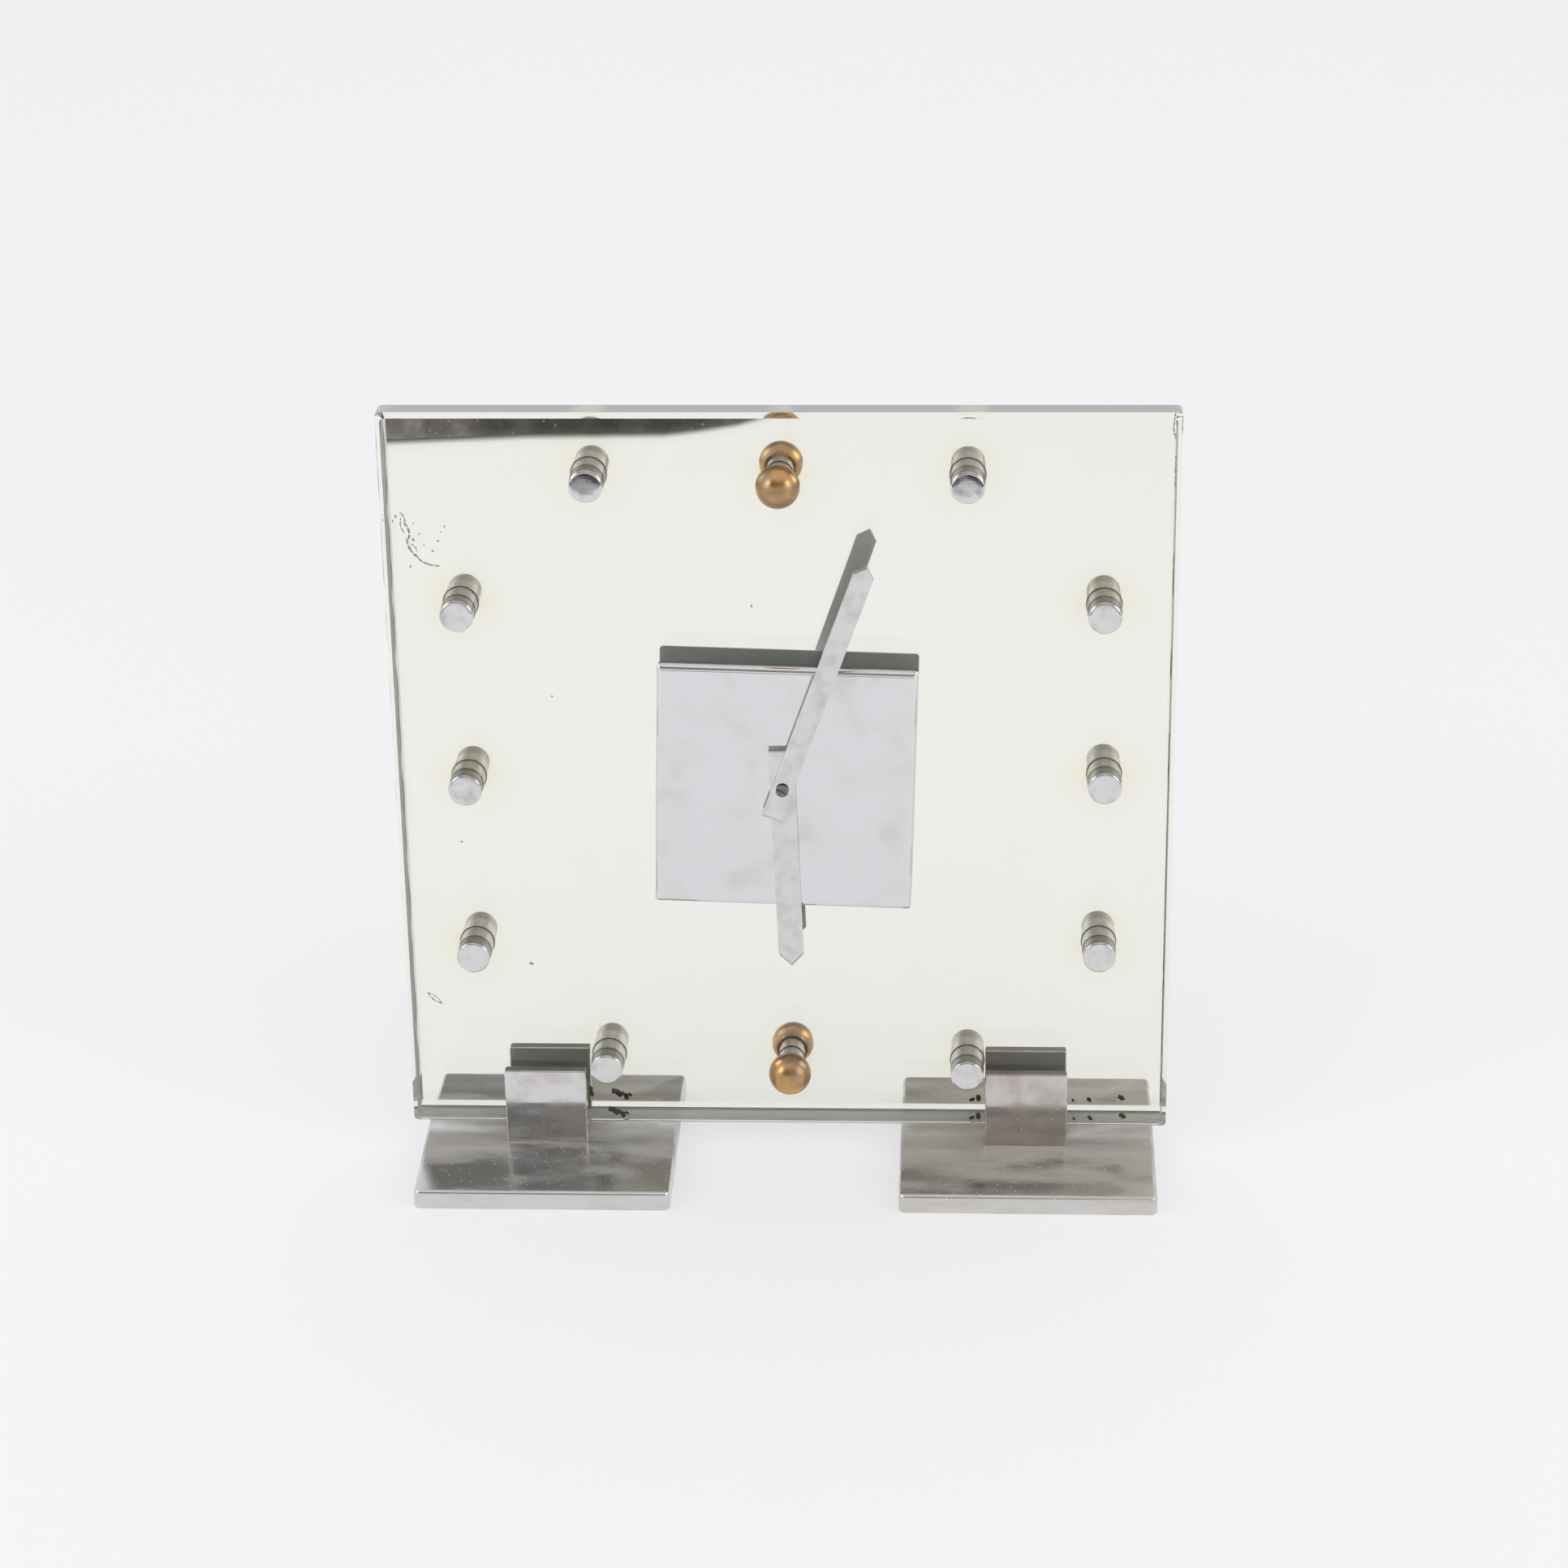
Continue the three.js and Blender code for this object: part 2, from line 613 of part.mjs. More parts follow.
/** The front plate of the movement with the threaded bush that goes through the glass. */
function movementFrontPlate() {
  const disc = rod(MOVEMENT_RADIUS, REST_BACK, INNER_FRONT, [0, 0], FINE_STEPS);
  const bush = rod(BUSH_RADIUS, NUT_FRONT, INNER_FRONT);
  const cut = [
    rod(BUSH_BORE, NUT_FRONT - 1, INNER_FRONT + 1),
    rod(PIVOT_RADIUS + SEAT, REST_BACK - 1, INNER_FRONT + 1, MINUTE_WHEEL_PLACE),
    rod(BARREL_ARBOR_RADIUS + SEAT, REST_BACK - 1, INNER_FRONT + 1, BARREL_PLACE),
  ];
  return part("movement_front_plate", build(disc, { join: [bush], cut }), "brass");
}

/** The back plate of the movement. */
function movementBackPlate() {
  const disc = rod(MOVEMENT_RADIUS, INNER_BACK, BACK_PLATE_BACK, [0, 0], FINE_STEPS);
  const through = [INNER_BACK - 1, BACK_PLATE_BACK + 1];
  const cut = [
    rod(ARBOR_RADIUS + SEAT, ...through),
    rod(PIVOT_RADIUS + SEAT, ...through, MINUTE_WHEEL_PLACE),
    rod(BARREL_ARBOR_RADIUS + SEAT, ...through, BARREL_PLACE),
  ];
  for (let i = 0; i < PILLAR_COUNT; i += 1) {
    cut.push(rod(SCREW_BORE, ...through, pillarPlace(i), SMALL_STEPS));
  }
  return part("movement_back_plate", build(disc, { cut }), "brass");
}

/** A pillar between the plates, tapped behind for a case screw. */
function pillar(index) {
  const place = pillarPlace(index);
  const back = INNER_BACK - SEAT;
  const body = rod(PILLAR_RADIUS, INNER_FRONT + SEAT, back, place, SMALL_STEPS);
  const bore = rod(SCREW_BORE, back - CASE_SCREW_GRIP - SEAT, back + 1, place, SMALL_STEPS);
  return part(`pillar_${index + 1}`, build(body, { cut: [bore] }), "brass");
}

/** The spring barrel: the great wheel and an open drum behind it, on the barrel arbor. */
function springBarrel() {
  const step = GREAT_WHEEL_FRONT + WHEEL_THICKNESS;
  const back = step + BARREL_DEPTH;
  const disc = wheel(
    GREAT_WHEEL_TEETH,
    GREAT_MODULE,
    halfPitch(GREAT_WHEEL_TEETH),
    GREAT_WHEEL_FRONT,
    step,
    BARREL_PLACE,
  );
  const drum = rod(BARREL_RADIUS, GREAT_WHEEL_FRONT, back, BARREL_PLACE, FINE_STEPS);
  const hollow = rod(BARREL_RADIUS - BARREL_WALL, step, back + 1, BARREL_PLACE, FINE_STEPS);
  const bore = rod(BARREL_ARBOR_RADIUS + SEAT, GREAT_WHEEL_FRONT - 1, back, BARREL_PLACE);
  return part("spring_barrel", build(disc, { join: [drum], cut: [hollow, bore] }), "brass");
}

/** The mainspring: a strip wound in an even spiral from the arbor to the drum's wall. */
function mainspring() {
  const inner = BARREL_ARBOR_RADIUS + SEAT;
  const outer = BARREL_RADIUS - BARREL_WALL - SEAT - SPRING_STRIP;
  const steps = SPRING_COIL_TURNS * SPRING_COIL_STEPS;
  const edge = (extra) =>
    Array.from({ length: steps + 1 }, (_, i) => {
      const share = i / steps;
      const radius = inner + (outer - inner) * share + extra;
      return clockPoint(radius, -2 * Math.PI * SPRING_COIL_TURNS * share, BARREL_PLACE);
    });
  const strip = outline([...edge(0), ...edge(SPRING_STRIP).reverse()]);
  const front = GREAT_WHEEL_FRONT + WHEEL_THICKNESS + SEAT;
  return part("mainspring", slab(strip, front, front + BARREL_DEPTH - 2 * SEAT), "steel");
}

/** The barrel arbor, ending in a square for the key. */
function barrelArbor() {
  const squareBack = KNOB_FRONT + KEY_HUB_LENGTH - 2 * SEAT;
  const arbor = rod(BARREL_ARBOR_RADIUS, REST_BACK + SEAT, CASE_BACK, BARREL_PLACE);
  const half = KEY_SQUARE / 2;
  const square = block([-half, CASE_BACK - 1, -half], [half, squareBack, half]);
  square.translate(BARREL_PLACE[0], 0, BARREL_PLACE[1]);
  return part("barrel_arbor", build(arbor, { join: [square] }), "steel");
}

/** The winding key: a hub with a square socket and two wings. */
function windingKey() {
  const hubBack = KNOB_FRONT + KEY_HUB_LENGTH;
  const hub = rod(KEY_HUB_RADIUS, KNOB_FRONT, hubBack);
  const wingShape = roundedRectangle(KEY_WING_SPAN, KEY_WING_HEIGHT, KEY_WING_HEIGHT / 3);
  const wings = new THREE.ExtrudeGeometry(wingShape, {
    depth: KEY_WING_THICKNESS,
    bevelEnabled: false,
    curveSegments: ARC_STEPS,
  });
  wings.translate(0, hubBack + KEY_WING_HEIGHT / 2 - KEY_WING_SUNK, -KEY_WING_THICKNESS / 2);
  const half = KEY_SQUARE / 2 + SEAT;
  const socket = block([-half, KNOB_FRONT - 1, -half], [half, hubBack - SEAT, half]);
  const key = build(hub, { join: [wings], cut: [socket] });
  key.translate(BARREL_PLACE[0], 0, BARREL_PLACE[1]);
  return part("winding_key", key, "brass");
}

/** The fluted knob on the rear end of the centre arbor that sets the hands. */
function setKnob() {
  const points = Array.from({ length: 2 * KNOB_FLUTES }, (_, i) => {
    const radius = KNOB_RADIUS - (i % 2) * KNOB_FLUTE_DEPTH;
    return clockPoint(radius, (-i * Math.PI) / KNOB_FLUTES);
  });
  const back = KNOB_FRONT + KNOB_THICKNESS;
  const bore = rod(ARBOR_RADIUS + SEAT, KNOB_FRONT - 1, back - SEAT / 2);
  const knob = slab(outline(points), KNOB_FRONT, back + 1);
  return part("set_knob", build(knob, { cut: [bore] }), "brass");
}

/** The platform escapement: base, balance staff, balance rim with a spoke, and cock. */
function escapementPlatform() {
  const back = INNER_BACK - SEAT;
  const baseFront = back - PLATFORM_THICKNESS;
  const rimBack = baseFront - BALANCE_ROOM;
  const cockFront = rimBack - BALANCE_RIM - BALANCE_ROOM - PLATFORM_THICKNESS;
  const place = [BALANCE_OFFSET, -PLATFORM_DROP];
  const [x, z] = place;
  const cockCorner = [-PLATFORM_WIDTH / 2, cockFront, z - COCK_WIDTH / 2];
  const base = block(
    [-PLATFORM_WIDTH / 2, baseFront, z - PLATFORM_HEIGHT / 2],
    [PLATFORM_WIDTH / 2, back, z + PLATFORM_HEIGHT / 2],
  );
  const rimFront = rimBack - BALANCE_RIM;
  const join = [
    rod(PIVOT_RADIUS, cockFront, back - SEAT, place),
    ring(BALANCE_RADIUS - BALANCE_RIM, BALANCE_RADIUS, rimFront, rimBack, place),
    block(
      [x - BALANCE_RADIUS + BALANCE_RIM / 2, rimFront, z - BALANCE_RIM / 2],
      [x + BALANCE_RADIUS - BALANCE_RIM / 2, rimBack, z + BALANCE_RIM / 2],
    ),
    block(cockCorner, [x + COCK_WIDTH / 2, cockFront + PLATFORM_THICKNESS, z + COCK_WIDTH / 2]),
    block(cockCorner, [COCK_WIDTH - PLATFORM_WIDTH / 2, back - SEAT, z + COCK_WIDTH / 2]),
  ];
  return part("escapement_platform", build(base, { join }), "brass");
}

/** The round cover over the movement. */
function rearCase() {
  const inside = CASE_RADIUS - CASE_WALL;
  const cup = turned(
    [
      [inside, REST_BACK],
      [CASE_RADIUS, REST_BACK],
      [CASE_RADIUS, CASE_BACK - CASE_WALL],
      [CASE_RADIUS - CASE_WALL, CASE_BACK],
      [0, CASE_BACK],
      [0, CASE_FLOOR],
      [inside, CASE_FLOOR],
      [inside, REST_BACK],
    ],
    FINE_STEPS,
  );
  const through = [CASE_FLOOR - 1, CASE_BACK + 1];
  const cut = [
    rod(ARBOR_RADIUS + SEAT, ...through),
    rod(BARREL_ARBOR_RADIUS + SEAT, ...through, BARREL_PLACE),
  ];
  for (let i = 0; i < PILLAR_COUNT; i += 1) {
    cut.push(rod(SCREW_BORE, ...through, pillarPlace(i), SMALL_STEPS));
  }
  return part("rear_case", build(cup, { cut }), "paint");
}

/** A screw through the case and the back plate into a pillar. */
function caseScrew(index) {
  const seat = CASE_BACK + SEAT;
  const head = seat + CASE_SCREW_HEAD_THICKNESS;
  const tip = INNER_BACK - SEAT - CASE_SCREW_GRIP;
  const profile = [
    [0, tip],
    [CASE_SCREW_RADIUS, tip],
    [CASE_SCREW_RADIUS, seat],
    [CASE_SCREW_HEAD, seat],
    [CASE_SCREW_HEAD, head],
    [0, head],
  ];
  return part(`case_screw_${index + 1}`, turned(profile, SMALL_STEPS, pillarPlace(index)), "steel");
}

/** The middle plate, the hands and the movement, about the axis of the hands. */
function dialGroup() {
  const group = new THREE.Group();
  group.position.set(DIAL_CENTRE[0], 0, DIAL_CENTRE[1]);
  group.add(middlePlate(), plateNut(), hourHand(), minuteHand(), handScrew());
  group.add(movementFrontPlate(), movementBackPlate(), centreArbor(), hourWheel(), minuteWheel());
  group.add(springBarrel(), mainspring(), barrelArbor(), windingKey(), setKnob());
  group.add(escapementPlatform(), rearCase());
  for (let i = 0; i < PILLAR_COUNT; i += 1) group.add(pillar(i), caseScrew(i));
  return group;
}

/** Everything that leans with the glass. */
function glassGroup() {
  const group = new THREE.Group();
  group.rotation.x = -LEAN;
  group.position.copy(glassOrigin());
  group.add(mirrorGlass(), silverBacking());
  for (const hour of HOURS) {
    group.add(COPPER_HOURS.includes(hour) ? hourBall(hour) : hourPeg(hour), retainingDisc(hour));
  }
  group.add(dialGroup());
  for (const side of Object.keys(CLIP_OFFSETS)) group.add(slotPad(side));
  return group;
}

/** Where the middle of the glass front stands over the feet. */
function glassOrigin() {
  const below = GLASS_HEIGHT / 2 + GLASS_RISE;
  const forward = below * Math.sin(LEAN) - (GLASS_THICKNESS / 2) * Math.cos(LEAN) - GLASS_FORWARD;
  return new THREE.Vector3(0, forward, FOOT_THICKNESS + below * Math.cos(LEAN));
}

/** The soft pad between the lower edge of the glass and the floor of a clip's slot. */
function slotPad(side) {
  const x = CLIP_OFFSETS[side];
  const top = -GLASS_HEIGHT / 2 - SEAT;
  const half = CLIP_WIDTH / 2 - PAD_SIDE_GAP;
  const pad = block([x - half, 0, top - PAD_THICKNESS], [x + half, SILVER_BACK, top]);
  return part(`slot_pad_${side}`, pad, "fibre");
}

/** A foot plate with rounded edges and a countersunk hole for the clip screw. */
function footPlate(side, sign) {
  const shape = roundedRectangle(FOOT_WIDTH, FOOT_DEPTH, FOOT_CORNER + FOOT_ROUNDING);
  const plate = new THREE.ExtrudeGeometry(shape, {
    depth: FOOT_THICKNESS - 2 * FOOT_ROUNDING,
    bevelThickness: FOOT_ROUNDING,
    bevelSize: FOOT_ROUNDING,
    bevelOffset: -FOOT_ROUNDING,
    bevelSegments: ARC_STEPS,
    curveSegments: ARC_STEPS,
  });
  plate.translate(sign * FOOT_OFFSET, 0, FOOT_ROUNDING);
  const cut = [upright(clipScrewProfile(SEAT, -1, FOOT_THICKNESS + 1), CLIP_OFFSETS[side])];
  return part(`foot_plate_${side}`, build(plate, { cut }), "wornChrome");
}

/** A body turned about an upright axis over the feet from [radius, height] points. */
function upright(points, x) {
  const profile = points.map(([radius, height]) => new THREE.Vector2(radius, height));
  return new THREE.LatheGeometry(profile, SMALL_STEPS).rotateX(Math.PI / 2).translate(x, 0, 0);
}

/** A countersunk screw's outline, grown by some play, from a lowest to a highest point. */
function clipScrewProfile(play, low, high) {
  const taper = CLIP_SCREW_SUNK + CLIP_SCREW_HEAD - CLIP_SCREW_RADIUS;
  return [
    [0, low],
    [CLIP_SCREW_HEAD + play, low],
    [CLIP_SCREW_HEAD + play, CLIP_SCREW_SUNK],
    [CLIP_SCREW_RADIUS + play, taper],
    [CLIP_SCREW_RADIUS + play, high],
    [0, high],
  ];
}

/** The screw that comes up through the foot plate into the clip. */
function clipScrew(side) {
  const high = FOOT_THICKNESS + CLIP_SCREW_GRIP;
  const screw = upright(clipScrewProfile(0, CLIP_SCREW_SUNK - SEAT / 2, high), CLIP_OFFSETS[side]);
  return part(`clip_screw_${side}`, screw, "steel");
}

/** A clip block: it leans with the glass, is slotted for it, and is cut level below. */
function footClip(side) {
  const x = CLIP_OFFSETS[side];
  const origin = glassOrigin();
  const bottom = -GLASS_HEIGHT / 2 - GLASS_RISE;
  const slotFloor = -GLASS_HEIGHT / 2 - PAD_THICKNESS - 2 * SEAT;
  const top = -GLASS_HEIGHT / 2 + CLIP_GRIP;
  const rearTop = -GLASS_HEIGHT / 2 + CLIP_REAR_GRIP;
  const [front, back] = [-SEAT, REST_BACK];
  const half = CLIP_WIDTH / 2;
  const clip = block([x - half, front - CLIP_LIP, bottom - CLIP_LIP], [x + half, back + CLIP_LIP, top]);
  const slot = block([x - CLIP_WIDTH, front, slotFloor], [x + CLIP_WIDTH, back, top + 1]);
  const behind = block([x - CLIP_WIDTH, front, rearTop], [x + CLIP_WIDTH, back + 2 * CLIP_LIP, top + 1]);
  for (const piece of [clip, slot, behind]) {
    piece.rotateX(-LEAN).translate(origin.x, origin.y, origin.z);
  }
  const under = block(
    [x - CLIP_WIDTH, -FOOT_DEPTH, -FOOT_DEPTH],
    [x + CLIP_WIDTH, FOOT_DEPTH, FOOT_THICKNESS],
  );
  const hole = [[0, 0], [CLIP_SCREW_RADIUS + SEAT, 0]];
  const depth = FOOT_THICKNESS + CLIP_SCREW_GRIP + SEAT;
  hole.push([CLIP_SCREW_RADIUS + SEAT, depth], [0, depth]);
  const cut = [slot, behind, under, upright(hole, x)];
  return part(`foot_clip_${side}`, build(clip, { cut }), "chrome");
}

const clock = new THREE.Group();
clock.add(glassGroup());
for (const [side, sign] of [["left", -1], ["right", 1]]) {
  clock.add(footPlate(side, sign), footClip(side), clipScrew(side));
}

export default clock;
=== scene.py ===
"""Finishes and fine shapes of a free-standing mirror clock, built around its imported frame.

The clock is a thick silvered glass square that leans back in two chrome clips. Each class
below is one sub-assembly or one finish. Lengths inside a class are millimetres measured in
the glass frame: x to the right, y from the front face of the glass to the back, z up along
the glass. LeanFrame carries them into the row frame in metres.
"""

from __future__ import annotations

import json
import logging
import math
from dataclasses import dataclass, field
from enum import Enum
from typing import Callable, Iterable, Sequence

import bmesh
import bpy
import numpy as np
from bpy.types import Material, Mesh, Node, NodeSocket, NodeTree, Object
from mathutils import Matrix, Vector
from mathutils.geometry import tessellate_polygon

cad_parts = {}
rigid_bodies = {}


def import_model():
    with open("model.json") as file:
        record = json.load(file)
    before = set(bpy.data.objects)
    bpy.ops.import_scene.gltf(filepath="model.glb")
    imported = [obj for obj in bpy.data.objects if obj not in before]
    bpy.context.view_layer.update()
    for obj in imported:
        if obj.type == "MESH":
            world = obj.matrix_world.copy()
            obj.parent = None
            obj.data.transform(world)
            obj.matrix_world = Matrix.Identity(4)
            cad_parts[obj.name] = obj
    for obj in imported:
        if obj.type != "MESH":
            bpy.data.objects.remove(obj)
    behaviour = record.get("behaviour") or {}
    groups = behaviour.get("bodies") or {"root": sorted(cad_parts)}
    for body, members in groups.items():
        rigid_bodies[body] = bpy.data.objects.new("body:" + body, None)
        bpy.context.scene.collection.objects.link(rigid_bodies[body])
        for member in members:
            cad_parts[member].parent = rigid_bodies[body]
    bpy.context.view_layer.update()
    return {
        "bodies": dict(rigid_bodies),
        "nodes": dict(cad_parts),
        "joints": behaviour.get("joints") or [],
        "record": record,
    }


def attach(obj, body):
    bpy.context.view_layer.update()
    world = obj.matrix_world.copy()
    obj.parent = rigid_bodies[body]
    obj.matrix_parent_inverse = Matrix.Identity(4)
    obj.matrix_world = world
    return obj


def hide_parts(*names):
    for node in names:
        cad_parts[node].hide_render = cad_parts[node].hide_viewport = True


LOG = logging.getLogger("mirror_clock")
MM = 0.001
PHOTO_SIDE = 1932
SENSOR = 36.0
GLASS_HEIGHT = 303.4
GLASS_THICKNESS = 12.7
GLASS_INDEX = 1.52
DISC_FRONT = 13.8
FOOT_THICKNESS = 8.0
FOUR_INCHES = 101.6
WELD_DISTANCE = 1e-7
# Most of a noise's values lie in this part of its range.
NOISE_SPAN = (0.3, 0.7)
GRAIN_CORE = 0.1

Array = np.ndarray
Colour = tuple[float, float, float]
Span = tuple[float, float]


class Body(str, Enum):
    """The rigid bodies that new pieces ride on."""

    CLOCK = "clock"
    MINUTE = "minute_work"
    HOUR = "hour_work"


class Slot(str, Enum):
    """The record's material slots."""

    GLASS = "clear_glass"
    SILVER = "silver"
    CHROME = "chrome"
    WORN_CHROME = "worn_chrome"
    COPPER = "copper"
    BRASS = "brass"
    STEEL = "steel"
    DULL_STEEL = "dull_steel"
    PAINT = "black_paint"
    RUBBER = "rubber"


@dataclass(frozen=True)
class LeanFrame:
    """The glass frame: how it leans and where its origin stands over the feet."""

    lean: float = math.radians(3)
    glass_height: float = GLASS_HEIGHT
    glass_thickness: float = GLASS_THICKNESS
    glass_rise: float = 5.9
    glass_forward: float = 0.75
    foot_thickness: float = FOOT_THICKNESS

    @property
    def rotation(self) -> Array:
        """The turn from the glass frame to the row frame, a 3 by 3 matrix."""
        sine, cosine = math.sin(self.lean), math.cos(self.lean)
        return np.array([[1, 0, 0], [0, cosine, sine], [0, -sine, cosine]])

    @property
    def origin(self) -> Array:
        """The middle of the glass front, in millimetres of the row frame."""
        below = self.glass_height / 2 + self.glass_rise
        sine, cosine = math.sin(self.lean), math.cos(self.lean)
        back = below * sine - self.glass_thickness / 2 * cosine - self.glass_forward
        return np.array([0, back, self.foot_thickness + below * cosine])

    def place(self, points: Array) -> Array:
        """Points of the glass frame, carried to the row frame.

        Args:
            points: an array of places in millimetres, with x, y, z last.
        Returns:
            The same places in metres of the row frame.
        """
        return (np.asarray(points, float) @ self.rotation.T + self.origin) * MM

    def straight(self, points: Array) -> Array:
        """Places already upright in the row frame, from millimetres to metres."""
        return np.asarray(points, float) * MM


FRAME = LeanFrame()


@dataclass
class Shell:
    """A mesh being made: places, faces with a material index each, and point values."""

    points: list[Array] = field(default_factory=list)
    faces: list[tuple[int, ...]] = field(default_factory=list)
    materials: list[int] = field(default_factory=list)
    values: dict[str, list[Array]] = field(default_factory=dict)
    count: int = 0

    def add(
        self,
        points: Array,
        faces: Iterable[Sequence[int]],
        material: int = 0,
        **values: Array,
    ) -> Shell:
        """Adds points, and faces that index them.

        Args:
            points: an array of places, one row each.
            faces: corner indices into these points.
            material: the material index of these faces.
            values: named arrays with one number for each point.
        Returns:
            The shell itself.
        """
        points = np.asarray(points, float).reshape(-1, 3)
        start = self.count
        self.points.append(points)
        for face in faces:
            self.faces.append(tuple(int(corner) + start for corner in face))
            self.materials.append(material)
        for name in set(values) | set(self.values):
            held = self.values.setdefault(name, [np.zeros(start)] if start else [])
            held.append(np.asarray(values.get(name, np.zeros(len(points))), float).ravel())
        self.count += len(points)
        return self

    def skin(self, rows: Array, material: int = 0, wrap: bool = True) -> Shell:
        """Adds rows of points joined by quads; with wrap, each row is a closed loop."""
        return self.add(rows, grid_faces(len(rows), len(rows[0]), wrap), material)

    def wall(self, loop: Array, front: float, back: float, material: int = 0) -> Shell:
        """Adds the wall that a flat loop sweeps between two depths."""
        return self.skin(np.stack([lift(loop, front), lift(loop, back)]), material)

    def sheet(self, outer: Array, holes: Sequence[Array], depth: float, material: int = 0) -> Shell:
        """Adds a flat sheet with holes at one depth."""
        flat, triangles = perforated(outer, holes)
        return self.add(lift(flat, depth), triangles, material)

    def pierced(self, loops: Sequence[Array], depths: Sequence[float], hole: Array) -> Shell:
        """Adds a flat body with a hole, its back face in the second material.

        Args:
            loops: the body's outline at each depth, as x and z.
            depths: the depths, from the front to the back.
            hole: the loop round the hole.
        Returns:
            The shell itself.
        """
        self.skin(np.stack([lift(loop, depth) for loop, depth in zip(loops, depths)]))
        for side, end in enumerate((0, -1)):
            self.sheet(loops[end], [hole], depths[end], side)
        return self.wall(hole, depths[0], depths[-1])


def grid_faces(rows: int, columns: int, wrap: bool = True) -> Array:
    """Quads of a grid of rows by columns points, row after row.

    Args:
        rows: how many rows of points.
        columns: how many points in a row.
        wrap: whether the last column joins the first.
    Returns:
        An array of four corner indices for each quad.
    """
    row, column = np.meshgrid(
        np.arange(rows - 1), np.arange(columns if wrap else columns - 1), indexing="ij"
    )
    after = (column + 1) % columns
    corners = (
        row * columns + column,
        (row + 1) * columns + column,
        (row + 1) * columns + after,
        row * columns + after,
    )
    return np.stack([corner.ravel() for corner in corners], axis=1)


def turned(profile: Array, steps: int = 64, middle: Sequence[float] = (0.0, 0.0)) -> Array:
    """A surface of revolution about the depth axis.

    The point at angle a of profile point (r, y) is (x0 + r sin a, y, z0 + r cos a).

    Args:
        profile: rows of radius and depth.
        steps: points round the axis.
        middle: where the axis stands, x and z.
    Returns:
        An array of rows by steps by 3.
    """
    radius, depth = np.asarray(profile, float).T
    angle = np.linspace(0, 2 * math.pi, steps, endpoint=False)
    x = middle[0] + radius[:, None] * np.sin(angle)
    z = middle[1] + radius[:, None] * np.cos(angle)
    return np.stack([x, np.broadcast_to(depth[:, None], x.shape), z], axis=-1)


def arc(centre: Sequence[float], radius: float, start: float, end: float, steps: int = 8) -> Array:
    """Points of a circular arc, from a start to an end angle in degrees."""
    angle = np.radians(np.linspace(start, end, steps + 1))
    return np.stack(
        [centre[0] + radius * np.cos(angle), centre[1] + radius * np.sin(angle)], axis=1
    )


def rounded_loop(width: float, height: float, radius: float, steps: int = 6) -> Array:
    """A closed loop round a rectangle with round corners: a quarter arc at each corner."""
    x, z = width / 2 - radius, height / 2 - radius
    corners = [((x, z), 0), ((-x, z), 90), ((-x, -z), 180), ((x, -z), 270)]
    return np.concatenate([arc(place, radius, turn, turn + 90, steps) for place, turn in corners])


def fan(count: int, reverse: bool = False) -> list[tuple[int, ...]]:
    """One flat face over a whole loop."""
    corners = tuple(range(count))
    return [corners[::-1] if reverse else corners]


def perforated(outer: Array, holes: Sequence[Array]) -> tuple[Array, list[tuple[int, ...]]]:
    """A flat sheet with holes, cut into triangles.

    Args:
        outer: the loop round the sheet, x and z.
        holes: the loops round its holes, x and z.
    Returns:
        The corner points as x and z, and the triangles.
    """
    loops = [np.asarray(loop, float) for loop in (outer, *holes)]
    triangles = tessellate_polygon([[Vector((x, z, 0)) for x, z in loop] for loop in loops])
    return np.concatenate(loops), [tuple(triangle) for triangle in triangles]


def lift(loop: Array, depth: float) -> Array:
    """A flat loop of x and z, set at one depth."""
    loop = np.asarray(loop, float)
    return np.stack([loop[:, 0], np.full(len(loop), depth), loop[:, 1]], axis=1)


def ring(radius: float, steps: int, middle: Sequence[float] = (0.0, 0.0)) -> Array:
    """A flat round loop of x and z about a middle."""
    return turned([(radius, 0.0)], steps, middle)[0][:, [0, 2]]


def quarter_round(radius: float, steps: int) -> list[tuple[float, float]]:
    """A quarter round as inset and drop: from the whole inset to the whole drop."""
    sweep = np.radians(np.linspace(0, 90, steps))
    return [(radius * (1 - math.sin(a)), radius * (1 - math.cos(a))) for a in sweep]


def finish_piece(
    name: str,
    shell: Shell,
    finishes: Sequence[Material],
    body: Body,
    replaced: Sequence[str] = (),
    place: Callable[[Array], Array] = FRAME.place,
    sharp: float = 30.0,
) -> Object:
    """Makes a piece of a shell, in the row frame, riding on its body.

    Args:
        name: the piece's name.
        shell: its mesh in millimetres.
        finishes: its materials, in the order of the shell's material indices.
        body: the body it rides on.
        replaced: CAD nodes that it stands for.
        place: how its points reach the row frame.
        sharp: edges that turn more than this many degrees stay sharp.
    Returns:
        The new object.
    """
    mesh = bpy.data.meshes.new(name)
    points = place(np.concatenate(shell.points))
    mesh.from_pydata(points.tolist(), [], shell.faces)
    mesh.polygons.foreach_set("material_index", np.array(shell.materials, np.int32))
    for label, parts in shell.values.items():
        point_values(mesh, label, np.concatenate(parts))
    for finish in finishes:
        mesh.materials.append(finish)
    weld(mesh)
    mesh.shade_smooth()
    mesh.set_sharp_from_angle(angle=math.radians(sharp))
    piece = add_object(name, mesh)
    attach(piece, body.value)
    if replaced:
        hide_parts(*replaced)
    LOG.info("piece %s: %d faces on %s", name, len(mesh.polygons), body.value)
    return piece


def add_object(name: str, data: bpy.types.ID) -> Object:
    """A new object of some data, linked to the scene."""
    made = bpy.data.objects.new(name, data)
    bpy.context.scene.collection.objects.link(made)
    return made


def point_values(mesh: Mesh, label: str, values: Array) -> None:
    """Gives a mesh a named number at each point."""
    held = mesh.attributes.new(label, "FLOAT", "POINT")
    held.data.foreach_set("value", np.asarray(values, np.float32))


